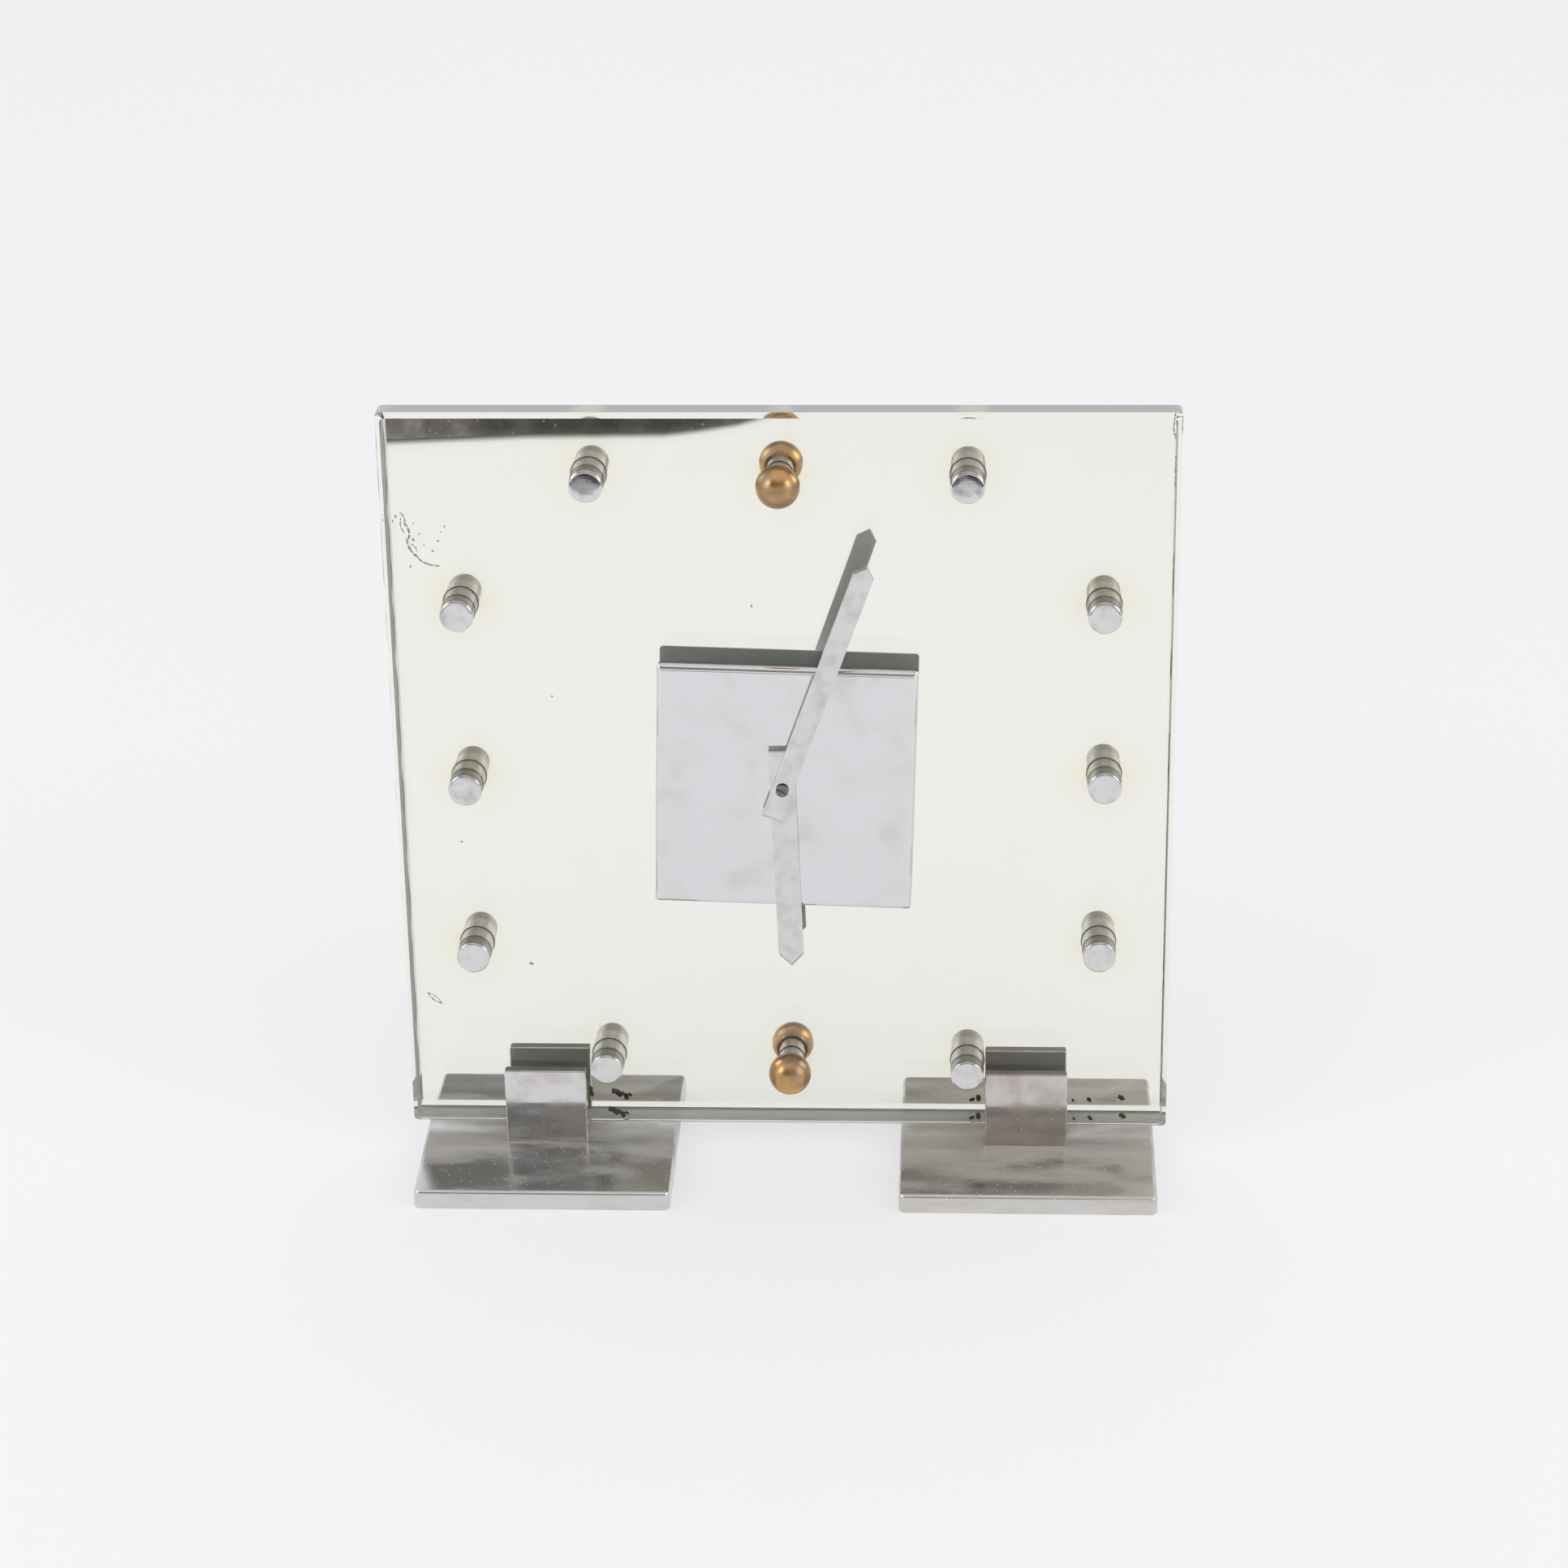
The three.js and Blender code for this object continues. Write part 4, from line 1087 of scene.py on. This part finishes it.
    def sheet_grid(self, inset: float) -> tuple[Array, list[tuple[int, ...]]]:
        """The silver's front face: loops round each hole joined to a plain outer sheet."""
        halos = [self.circle(middle, self.halo(middle)) for middle in PLAN.marks.values()]
        bush = self.circle(PLAN.centre, self.bush_hole_radius + self.bare_rim)
        points, triangles = perforated(self.loop(inset), [*halos, bush])
        faces = list(triangles)
        parts, start = [points], len(points)
        for middle, drilled in self.holes()[:-1]:
            inner = drilled + self.bare_rim
            radii = inner + (self.halo(middle) - inner) * np.linspace(0, 1, self.halo_rings) ** 1.6
            rings = np.concatenate([self.circle(middle, radius) for radius in radii])
            faces.extend(
                tuple(face + start) for face in grid_faces(self.halo_rings, self.hole_steps)
            )
            parts.append(rings)
            start += len(rings)
        return np.concatenate(parts), faces

    def halo(self, middle: tuple[float, float]) -> float:
        """How far the ring of points round a hole can reach inside the sheet."""
        edge = min(self.width / 2 - abs(middle[0]), self.height / 2 - abs(middle[1]))
        return min(self.halo_radius, edge - 2 * self.arris)

    def build(self, finishes: Finishes) -> list[Object]:
        """Both sheets."""
        return [self.build_glass(finishes), self.build_silver(finishes)]


@dataclass
class HourMarks:
    """The pegs and balls in front of the glass, and the discs that hold them behind it."""

    peg_radius: float = 6.5
    peg_proud: float = 7.35
    rim_width: float = 1.2
    rim_drop: float = 0.7
    tilts: dict[int, float] = field(default_factory=lambda: {1: 1.0, 11: 0.6})
    ball_radius: float = 8.44
    ball_centre: float = 5.8
    neck_radius: float = 5.0
    rest_back: float = DISC_FRONT
    tail_radius: float = 3.0
    disc_radius: float = 9.5
    disc_thickness: float = 3.0
    steps: int = 96

    def tail(self, radius: float) -> list[tuple[float, float]]:
        """The profile behind the glass: a shoulder of a radius and a tail with thread ridges."""
        end = self.rest_back + self.disc_thickness + 0.3
        start = GLASS_THICKNESS
        turns = np.arange(start + 0.6, end - 0.7, 0.35)
        ridges = [(self.tail_radius - 0.18 * (i % 2), depth) for i, depth in enumerate(turns)]
        return [
            (radius, start),
            (self.tail_radius, start),
            *ridges,
            (self.tail_radius - 0.5, end),
            (0.0, end),
        ]

    def build_peg(self, hour: int, coats: Sequence[Material]) -> Object:
        """A peg: a flat face that may tilt up, a rim that is a quarter ellipse, and a side."""
        rim = [
            (self.peg_radius - self.rim_width * inset, self.rim_drop * drop - self.peg_proud)
            for inset, drop in quarter_round(1.0, 13)
        ]
        flat = [(0.0, -self.peg_proud), (self.peg_radius / 2, -self.peg_proud)]
        side = [(self.peg_radius, depth) for depth in (-4.0, 0.0, 4.0, 8.0)]
        profile = np.array([*flat, *rim, *side, *self.tail(self.peg_radius)])
        tilt = math.radians(self.tilts.get(hour, 0.0))
        polished = (len(flat) + len(rim) - 1) * self.steps
        return self.piece(
            f"chrome_peg_{hour}",
            profile,
            hour,
            coats,
            Slot.CHROME,
            f"hour_peg_{hour}",
            tilt,
            polished,
        )

    def build_ball(self, hour: int, finish: Material) -> Object:
        """A ball: a circle from its front to where it meets its rod."""
        meet = math.degrees(math.acos(self.neck_radius / self.ball_radius))
        circle = arc((0.0, -self.ball_centre), self.ball_radius, -90, meet, 40)
        profile = np.array(
            [*circle.tolist(), (self.neck_radius, 5.0), *self.tail(self.neck_radius)]
        )
        return self.piece(
            f"copper_ball_{hour}", profile, hour, [finish], Slot.COPPER, f"hour_ball_{hour}"
        )

    def piece(
        self,
        name: str,
        profile: Array,
        hour: int,
        coats: Sequence[Material],
        slot: Slot,
        node: str,
        tilt: float = 0.0,
        polished: int | None = None,
    ) -> Object:
        """A turned piece at an hour's place, its face leaning back by a tilt in radians.

        Its faces past the polished ones take its second coat.
        """
        middle = PLAN.mark(hour)
        points = turned(profile, self.steps, middle)
        share = np.clip((points[..., 1] + self.peg_proud / 2) / (-self.peg_proud / 2), 0, 1)
        points[..., 1] += share * math.tan(tilt) * (points[..., 2] - middle[1])
        shell = Shell().skin(points)
        if polished is not None:
            shell.materials[polished:] = [1] * (len(shell.materials) - polished)
        return finish_piece(name, shell, coats, Body.CLOCK, [node])

    def build_disc(self, hour: int, finish: Material) -> Object:
        """A retaining disc: a ring with a chamfered rim and a round groove in its back."""
        inner, outer, front = self.tail_radius + 0.3, self.disc_radius, self.rest_back
        back = front + self.disc_thickness
        profile = np.array(
            [
                (inner, front),
                (outer - 0.3, front),
                (outer, front + 0.3),
                (outer, back - 0.8),
                (outer - 0.8, back),
                (outer - 2.2, back),
                (outer - 2.5, back - 0.35),
                (outer - 2.8, back),
                (inner + 0.3, back),
                (inner, back - 0.3),
                (inner, front),
            ]
        )
        return self.piece(
            f"holding_disc_{hour}",
            profile,
            hour,
            [finish],
            Slot.DULL_STEEL,
            f"retaining_disc_{hour}",
        )

    def build(self, finishes: Finishes) -> list[Object]:
        """Every mark and every disc."""
        pieces = []
        for hour in PLAN.marks:
            if hour in PLAN.copper_hours:
                pieces.append(self.build_ball(hour, finishes["copper"]))
            else:
                pieces.append(self.build_peg(hour, [finishes["peg_chrome"], finishes["peg_side"]]))
            pieces.append(self.build_disc(hour, finishes["dull_steel"]))
        return pieces


@dataclass
class MiddlePlate:
    """The square plate that lies on the glass."""

    size: float = FOUR_INCHES
    back: float = -0.3
    front: float = -3.1
    rounding: float = 2.5
    corner: float = 1.3
    corner_fall: float = 0.36
    shift: tuple[float, float] = (0.8, -1.45)
    turn: float = math.radians(1.8)
    hole_radius: float = 3.8
    hole_steps: int = 48

    def build(self, finishes: Finishes) -> list[Object]:
        """The plate: a flat face, a quarter-round edge and a flat back, with a hole."""
        rows = [(inset, self.front + drop) for inset, drop in quarter_round(self.rounding, 9)]
        rows.append((0.0, self.back))
        loops = []
        for inset, _ in rows:
            side = self.size - 2 * inset
            loop = rounded_loop(side, side, self.corner - self.corner_fall * inset, 8)
            loops.append(self.turned_loop(loop))
        hole = ring(self.hole_radius, self.hole_steps)
        shell = Shell().pierced(loops, [depth for _, depth in rows], hole)
        # The plate's back takes the bare finish, whose near-white tone is painted light.
        coats = [finishes["chrome"], finishes["bare_back"]]
        return [
            finish_piece(
                "square_plate", shell, coats, Body.CLOCK, ["middle_plate"], dial_place
            )
        ]

    def turned_loop(self, loop: Array) -> Array:
        """A loop turned clockwise on the plate's hole and moved off the hands' axis."""
        sine, cosine = math.sin(self.turn), math.cos(self.turn)
        x, z = loop.T
        return np.stack(
            [x * cosine + z * sine + self.shift[0], z * cosine - x * sine + self.shift[1]], axis=1
        )


def dial_place(points: Array) -> Array:
    """Carries places measured from the hands' axis to the row frame."""
    return FRAME.place(np.asarray(points, float) + np.array([PLAN.centre[0], 0.0, PLAN.centre[1]]))


@dataclass
class Hand:
    """A flat bar hand with bevelled edges, a pointed tip and a square tail."""

    name: str
    node: str
    body: Body
    width: float
    reach: float
    shoulder: float
    tail: float
    angle: float
    bend: float
    back: float
    hole: float
    thickness: float = 1.2
    bevel: float = 0.55
    bevel_drop: float = 0.4
    back_bevel: float = 0.15
    bend_start: float = 8.0
    stations: int = 24
    hole_steps: int = 40

    def outline(self, inset: float) -> Array:
        """The hand's outline drawn in by an inset, with its tip kept at its own angle."""
        half = self.width / 2 - inset
        rise = (self.reach - self.shoulder) / (self.width / 2)
        tip = self.reach - inset * math.hypot(1, rise)
        along = np.linspace(-self.tail + inset, tip - rise * half, self.stations)
        right = np.stack([np.full(self.stations, half), along], axis=1)
        left = right[::-1] * (-1, 1)
        return np.concatenate([right, [(0.0, tip)], left])

    def bent(self, points: Array) -> Array:
        """Points with the blade bent: past the bend, depth grows with the distance."""
        points = np.array(points, float)
        beyond = np.clip(points[:, 2] - self.bend_start, 0, None)
        points[:, 1] -= beyond * math.tan(self.bend)
        sine, cosine = math.sin(self.angle), math.cos(self.angle)
        x, z = points[:, 0].copy(), points[:, 2].copy()
        points[:, 0], points[:, 2] = x * cosine + z * sine, z * cosine - x * sine
        return points

    def build(self, finish: Material, bare: Material) -> Object:
        """The hand: front and back faces with the arbor's hole, and bevelled sides."""
        front = self.back - self.thickness
        near, far = front + self.bevel_drop, self.back - self.back_bevel
        rows = [(self.bevel, front), (0.0, near), (0.0, far), (self.back_bevel, self.back)]
        loops = [self.outline(inset) for inset, _ in rows]
        hole = ring(self.hole, self.hole_steps)
        shell = Shell().pierced(loops, [depth for _, depth in rows], hole)
        shell.points = [self.bent(points) for points in shell.points]
        # The back face takes the bare finish, whose near-white tone is painted light.
        return finish_piece(
            self.name, shell, [finish, bare], self.body, [self.node], dial_place, 15.0
        )


@dataclass
class HandSet:
    """Both hands and the screw that holds them."""

    screw_radius: float = 2.5
    screw_front: float = -9.1
    screw_back: float = -8.0
    shank: float = 0.8
    shank_length: float = 3.5
    rim_round: float = 0.3
    slot_softness: float = 0.04
    slot_width: float = 0.8
    slot_depth: float = 0.55
    slot_turn: float = math.radians(28)

    def hands(self) -> list[Hand]:
        """The two hands with their sizes."""
        hour = Hand(
            "hour_bar_hand", "hour_hand", Body.HOUR,
            width=10.0, reach=77.5, shoulder=72.2, tail=16.0,
            angle=math.radians(178.1), bend=math.radians(-0.8), back=-4.8, hole=2.7,
        )
        minute = Hand(
            "minute_bar_hand", "minute_hand", Body.MINUTE,
            width=8.2, reach=101.0, shoulder=96.9, tail=13.0,
            angle=math.radians(19.6), bend=math.radians(3.8), back=-6.4, hole=1.8,
        )
        return [hour, minute]

    def build_screw(self, finish: Material) -> Object:
        """The screw head: a disc whose front sinks by a step where the slot runs.

        The front's depth at a point is the head's front, plus the slot's depth where the
        distance across the slot is under half its width, plus a small round at the rim.
        """
        flat = self.screw_radius - self.rim_round
        radii = np.array([*np.linspace(0.0, flat, 26), self.screw_radius - 0.1, self.screw_radius])
        steps = 120
        rows = turned(np.stack([radii, np.full(len(radii), self.screw_front)], axis=1), steps)
        across = rows[..., 0] * math.sin(self.slot_turn) + rows[..., 2] * math.cos(self.slot_turn)
        sunk = 1 / (1 + np.exp((np.abs(across) - self.slot_width / 2) / self.slot_softness))
        rim = np.clip((radii - flat) / self.rim_round, 0, 1)[:, None] ** 2 * self.rim_round
        rows[..., 1] = self.screw_front + np.maximum(sunk * self.slot_depth, rim)
        end = self.screw_back + self.shank_length
        side = [
            (self.screw_radius, self.screw_back),
            (self.shank, self.screw_back),
            (self.shank, end),
            (0.0, end),
        ]
        shell = Shell().skin(rows).skin(np.concatenate([rows[-1:], turned(side, steps)]))
        return finish_piece(
            "slotted_screw",
            shell,
            [finish],
            Body.MINUTE,
            ["hand_screw"],
            dial_place,
        )

    def build(self, finishes: Finishes) -> list[Object]:
        """The hands and the screw."""
        # The hands' backs take the bare finish, whose near-white tone is painted light.
        pieces = [
            hand.build(finishes["hand_chrome"], finishes["bare_back"]) for hand in self.hands()
        ]
        return [*pieces, self.build_screw(finishes["dull_steel"])]


@dataclass
class Feet:
    """The two foot plates and the clips that stand on them."""

    plate_width: float = 102.6
    plate_depth: float = FOUR_INCHES
    plate_thickness: float = FOOT_THICKNESS
    plate_corner: float = 2.7
    plate_rounding: float = 1.6
    plate_offset: float = 97.0
    clip_width: float = 33.0
    clip_lip: float = 4.6
    clip_grip: float = 26.0
    clip_rear_grip: float = 13.9
    clip_edge: float = 0.55
    slot_back: float = DISC_FRONT
    seat: float = 0.3
    pad: float = 1.0
    screw_radius: float = 4.3
    pocket: float = 3.0
    clip_x: dict[str, float] = field(default_factory=lambda: {"left": -97.95, "right": 96.4})

    def build_plate(self, side: str, sign: int, finish: Material) -> Object:
        """A foot plate: a rounded rectangle in plan with rounded upper and lower edges."""
        rounding = quarter_round(self.plate_rounding, 7)
        upper = [(inset, self.plate_thickness - drop) for inset, drop in rounding]
        lower = [(0.0, 0.4), (0.12, 0.12), (0.4, 0.0)]
        loops = []
        for inset, height in upper + lower:
            width, depth = self.plate_width - 2 * inset, self.plate_depth - 2 * inset
            loop = rounded_loop(width, depth, self.plate_corner - inset, 6)
            loop = loop + (sign * self.plate_offset, 0.0)
            loops.append(np.column_stack([loop, np.full(len(loop), height)]))
        shell = Shell().skin(np.stack(loops))
        shell.add(loops[0], fan(len(loops[0])))
        hole = np.array(
            [(self.clip_x[side] + x, y) for x, y in arc((0, 0), self.screw_radius, 0, 352.5, 47)]
        )
        flat, triangles = perforated(loops[-1][:, :2], [hole])
        shell.add(np.column_stack([flat, np.zeros(len(flat))]), triangles)
        pocket = np.stack(
            [np.column_stack([hole, np.full(len(hole), z)]) for z in (0.0, self.pocket)]
        )
        shell.skin(pocket)
        shell.add(pocket[1], fan(len(hole)))
        node = [f"foot_plate_{side}"]
        return finish_piece(
            f"foot_slab_{side}", shell, [finish], Body.CLOCK, node, FRAME.straight
        )

    def clip_profile(self) -> Array:
        """The clip's side view in the glass frame, y and z, cut level at the foot plate."""
        half_height = FRAME.glass_height / 2
        floor = -half_height - self.pad - 2 * self.seat
        front, back = -self.seat - self.clip_lip, self.slot_back + self.clip_lip
        bottom = [self.level(front), self.level(back)]
        return np.array(
            [
                (front, bottom[0]),
                (front, self.clip_grip - half_height),
                (-self.seat, self.clip_grip - half_height),
                (-self.seat, floor),
                (self.slot_back, floor),
                (self.slot_back, self.clip_rear_grip - half_height),
                (back, self.clip_rear_grip - half_height),
                (back, bottom[1]),
            ]
        )

    def level(self, depth: float) -> float:
        """The height in the glass frame, at a depth, of the foot plate's upper face."""
        sine, cosine = math.sin(FRAME.lean), math.cos(FRAME.lean)
        return (FRAME.foot_thickness - FRAME.origin[2] + depth * sine) / cosine

    def build_clip(self, side: str, finish: Material, bare: Material) -> Object:
        """A clip: its side view carried across its width, bevelled, and bare inside its slot."""
        profile = self.clip_profile()
        x = self.clip_x[side]
        ends = [
            np.column_stack([np.full(len(profile), x + s * self.clip_width / 2), profile])
            for s in (-1, 1)
        ]
        shell = Shell().skin(np.stack(ends))
        shell.materials[2:5] = [1, 1, 1]
        shell.add(ends[0], fan(len(profile)))
        shell.add(ends[1], fan(len(profile), True))
        piece = finish_piece(
            f"clip_block_{side}",
            shell,
            [finish, bare],
            Body.CLOCK,
            [f"foot_clip_{side}"],
        )
        bevel = piece.modifiers.new("edge", "BEVEL")
        bevel.width = self.clip_edge * MM
        bevel.segments = 3
        bevel.limit_method = "ANGLE"
        return piece

    def build(self, finishes: Finishes) -> list[Object]:
        """Both feet."""
        pieces = []
        for side, sign in (("left", -1), ("right", 1)):
            worn = "worn_" if sign > 0 else ""
            pieces.append(self.build_plate(side, sign, finishes[f"{worn}foot_chrome"]))
            plated = finishes[f"{worn}clip_chrome"]
            pieces.append(self.build_clip(side, plated, finishes["bare_slot"]))
        return pieces


@dataclass
class CarriedNodes:
    """CAD nodes that keep their shape and take a finish."""

    finishes: Finishes

    def dress(self, frame: dict) -> None:
        """Gives every CAD node a finish by the record's slot.
        """
        other = {
            Slot.PAINT: "case_paint",
            Slot.WORN_CHROME: "foot_chrome",
            Slot.GLASS: "glass",
            Slot.SILVER: "backing",
        }
        slots = {part["node"]: part["material_slot"] for part in frame["record"]["subparts"]}
        for name, node in frame["nodes"].items():
            node.data.materials.clear()
            finish = other.get(Slot(slots[name]), slots[name])
            node.data.materials.append(self.finishes[finish])
            LOG.info("node %s dressed as %s", name, slots[name])


@dataclass
class Studio:
    """The pale table, the room round it, two soft lamps and the camera."""

    table_front: tuple[tuple[float, float], ...] = (
        (-6.0, -0.91),
        (-0.6, -1.03),
        (-0.30, -1.060),
        (-0.22, -1.073),
        (-0.13, -1.077),
        (-0.108, -1.087),
        (-0.083, -1.103),
        (-0.05, -1.14),
        (0.0, -1.16),
        (6.0, -1.28),
    )
    table_fade: float = 0.02
    reach: float = 6.0
    table_colour: Colour = (0.90, 0.90, 0.915)
    table_glow: Colour = (0.90, 0.895, 0.91)
    table_glow_share: float = 0.6
    room_floor: Colour = (0.085, 0.078, 0.07)
    camera_place: tuple[float, float, float] = (76.908, -1472.946, 641.864)
    yaw: float = math.radians(-2.969)
    pitch: float = math.radians(23.537)
    roll: float = math.radians(-0.924)
    focal_pixels: float = 5057.2
    front_span: Span = (-0.15, -0.55)
    wall_top: Span = (0.24, 0.32)
    ceiling_start: Span = (0.66, 0.9)
    floor_start: Span = (-0.07, -0.11)
    side_span: Span = (-0.115, 0.0)
    bright_wall: Colour = (0.88, 0.875, 0.87)
    dark_left: Colour = (0.185, 0.18, 0.172)
    dark_right: Colour = (0.305, 0.28, 0.25)
    ceiling: Colour = (0.85, 0.85, 0.86)
    floor_noise: Span = (60.0, 8.0)
    floor_roughness: float = 0.7
    floor_light: tuple[float, float, float, float] = (0.34, 0.72, 0.055, 0.14)
    floor_left: tuple[float, float, float, float] = (-0.118, -0.127, 1.0, 1.7)
    floor_far_left: tuple[float, float, float, float] = (-0.133, -0.137, 1.0, 1.6)
    floor_tint: Colour = (1.0, 0.93, 0.86)
    mote_colour: Colour = (0.5, 0.49, 0.47)
    mote_scale: float = 700.0
    mote_chance: float = 0.78
    mote_size: float = 0.34
    mote_strength: float = 0.3
    dome: Colour = (0.91, 0.91, 0.912)
    backdrop: Colour = (0.91, 0.905, 0.92)
    lamps: tuple[tuple[str, float, float], ...] = (
        ("lamp_left", -62.0, 30.0), ("lamp_right", 66.0, 26.0)
    )
    lamp_size: tuple[float, float] = (0.6, 0.8)
    lamp_power: float = 4.5
    lamp_distance: float = 1.7
    lamp_aim: float = 0.16
    clip_end: float = 50.0

    def build_camera(self) -> None:
        """The camera, placed against the glass frame and carried with its lean."""
        cos_p, sin_p = math.cos(self.pitch), math.sin(self.pitch)
        forward = np.array([math.sin(self.yaw) * cos_p, math.cos(self.yaw) * cos_p, -sin_p])
        right = np.array([math.cos(self.yaw), -math.sin(self.yaw), 0.0])
        up = np.cross(right, forward)
        cos_r, sin_r = math.cos(self.roll), math.sin(self.roll)
        axes = np.stack([cos_r * right + sin_r * up, -sin_r * right + cos_r * up, -forward], axis=1)
        turn = FRAME.rotation @ axes
        data = bpy.data.cameras.new("view")
        data.sensor_width = SENSOR
        data.lens = self.focal_pixels / PHOTO_SIDE * SENSOR
        data.clip_end = self.clip_end
        matrix = Matrix(turn.tolist()).to_4x4()
        matrix.translation = Vector(FRAME.place(np.array(self.camera_place)))
        camera = add_object("view", data)
        camera.matrix_world = matrix
        bpy.context.scene.camera = camera

    def table_material(self) -> Material:
        """A matt white table top that fades to the room's floor along its front edge.

        Where the camera, metal or glass sees it, part of its tone is a steady pale one, so
        that the shadows on it stay faint.
        """
        material, graph, shader = new_material("white_table")
        path = graph.node("LightPath")
        edge = graph.ramp(graph.node("Attribute", attribute_name="fade").outputs["Fac"], 0.0, 1.0)
        fade = graph.math("MAXIMUM", edge, path.outputs["Is Camera Ray"])
        value = graph.noise(2.2, 3.0)
        pale = tuple(part * 0.985 for part in self.table_colour)
        top = graph.mix(value, self.table_colour, pale)
        rough = graph.ramp(value, *NOISE_SPAN, 0.55, 0.7)
        colour = graph.mix(fade, self.room_floor, top)
        graph.fill(shader, {"Base Color": colour, "Roughness": rough, "Specular IOR Level": 0.2})
        glow = graph.mix(fade, self.room_floor, self.table_glow)
        steady = graph.node("Emission", {"Color": glow, "Strength": 1.0})
        seen = graph.math("MAXIMUM", path.outputs["Is Camera Ray"], graph.shiny(path))
        share = graph.math("MULTIPLY", seen, self.table_glow_share)
        both = graph.node("MixShader", {0: share, 1: shader.outputs[0], 2: steady.outputs[0]})
        graph.feed(graph.tree.nodes["Material Output"].inputs["Surface"], both.outputs[0])
        return material

    def build_table(self) -> None:
        """The table, whose front edge is uneven, and an apron that only the camera sees."""
        edge = np.array(self.table_front)
        inner = edge + (0.0, self.table_fade)
        back, front = (
            np.stack([edge[:, 0], np.full(len(edge), y)], axis=1) for y in (self.reach, -self.reach)
        )
        top = [(edge, 0.0), (inner, 1.0), (back, 1.0)]
        apron = [(front, 1.0), (edge, 1.0)]
        material = self.table_material()
        for name, rows in (("table_top", top), ("table_apron", apron)):
            mesh = bpy.data.meshes.new(name)
            places = np.concatenate([np.column_stack([row, np.zeros(len(row))]) for row, _ in rows])
            faces = grid_faces(len(rows), len(edge), False)[:, ::-1]
            mesh.from_pydata(places.tolist(), [], faces.tolist())
            point_values(mesh, "fade", np.repeat([value for _, value in rows], len(edge)))
            mesh.materials.append(material)
            sheet = add_object(name, mesh)
            if name == "table_apron":
                for ray in ("glossy", "transmission", "diffuse", "shadow"):
                    setattr(sheet, f"visible_{ray}", False)

    def build_world(self) -> None:
        """The room: pale to the camera, even to matt things, and by direction to shiny ones.

        Metal sees, in front, the dark floor past the table's edge, a bright wall at the
        horizon, a darker room above it and a pale ceiling.
        """
        world = bpy.data.worlds.new("studio")
        world.use_nodes = True
        graph = Graph(world.node_tree)
        direction = graph.node("TexCoord").outputs["Generated"]
        parts = graph.node("SeparateXYZ", {0: direction})
        x, y, z = parts.outputs
        sides = graph.mix(graph.ramp(x, *self.side_span), self.dark_left, self.dark_right)
        facing = graph.mix(graph.ramp(z, *self.wall_top), self.bright_wall, sides)
        wall = graph.mix(graph.ramp(y, *self.front_span), self.backdrop, facing)
        above = graph.mix(graph.ramp(z, *self.ceiling_start), wall, self.ceiling)
        noise = graph.noise(*self.floor_noise, direction, self.floor_roughness)
        grain = graph.ramp(noise, *self.floor_light)
        near_left = graph.ramp(x, *self.floor_left)
        far_left = graph.ramp(x, *self.floor_far_left)
        lit = graph.math("MULTIPLY", grain, graph.math("MULTIPLY", near_left, far_left))
        green, blue = (graph.math("MULTIPLY", lit, share) for share in self.floor_tint[1:])
        shade = graph.node("CombineColor", {0: lit, 1: green, 2: blue}).outputs[0]
        motes = graph.grains(direction, self.mote_scale, self.mote_chance, self.mote_size)
        share = graph.math("MULTIPLY", motes, self.mote_strength)
        floor = graph.mix(share, shade, self.mote_colour)
        room = graph.mix(graph.ramp(z, *self.floor_start), above, floor)
        path = graph.node("LightPath")
        undiffused = graph.math("LESS_THAN", path.outputs["Diffuse Depth"], 0.5)
        clear = graph.math("MULTIPLY", graph.shiny(path), undiffused)
        soft = graph.mix(clear, self.dome, room)
        colour = graph.mix(path.outputs["Is Camera Ray"], soft, self.backdrop)
        background = graph.node("Background", {"Color": colour, "Strength": 1.0})
        graph.node("OutputWorld", {"Surface": background.outputs[0]})
        bpy.context.scene.world = world

    def build_lamps(self) -> None:
        """A soft lamp on each side, in front of the clock and above it."""
        for name, azimuth, elevation in self.lamps:
            light = bpy.data.lights.new(name, "AREA")
            light.shape = "RECTANGLE"
            light.size, light.size_y = self.lamp_size
            light.energy = self.lamp_power
            turn, rise = math.radians(azimuth), math.radians(elevation)
            away = Vector(
                (math.sin(turn) * math.cos(rise), -math.cos(turn) * math.cos(rise), math.sin(rise))
            )
            lamp = add_object(name, light)
            lamp.location = away * self.lamp_distance + Vector((0, 0, self.lamp_aim))
            lamp.rotation_euler = away.to_track_quat("Z", "Y").to_euler()

    def build(self) -> None:
        """The whole stage."""
        self.build_camera()
        self.build_table()
        self.build_world()
        self.build_lamps()
        bpy.context.scene.view_settings.view_transform = "Standard"


def main() -> None:
    """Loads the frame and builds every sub-assembly in order."""
    logging.basicConfig(level=logging.INFO, format="%(name)s: %(message)s")
    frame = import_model()
    Studio().build()
    finishes = Finishes()
    CarriedNodes(finishes).dress(frame)
    for assembly in (MirrorPlate(), HourMarks(), MiddlePlate(), HandSet(), Feet()):
        pieces = assembly.build(finishes)
        LOG.info("%s: %d pieces", type(assembly).__name__, len(pieces))


if __name__ == "__main__":
    main()
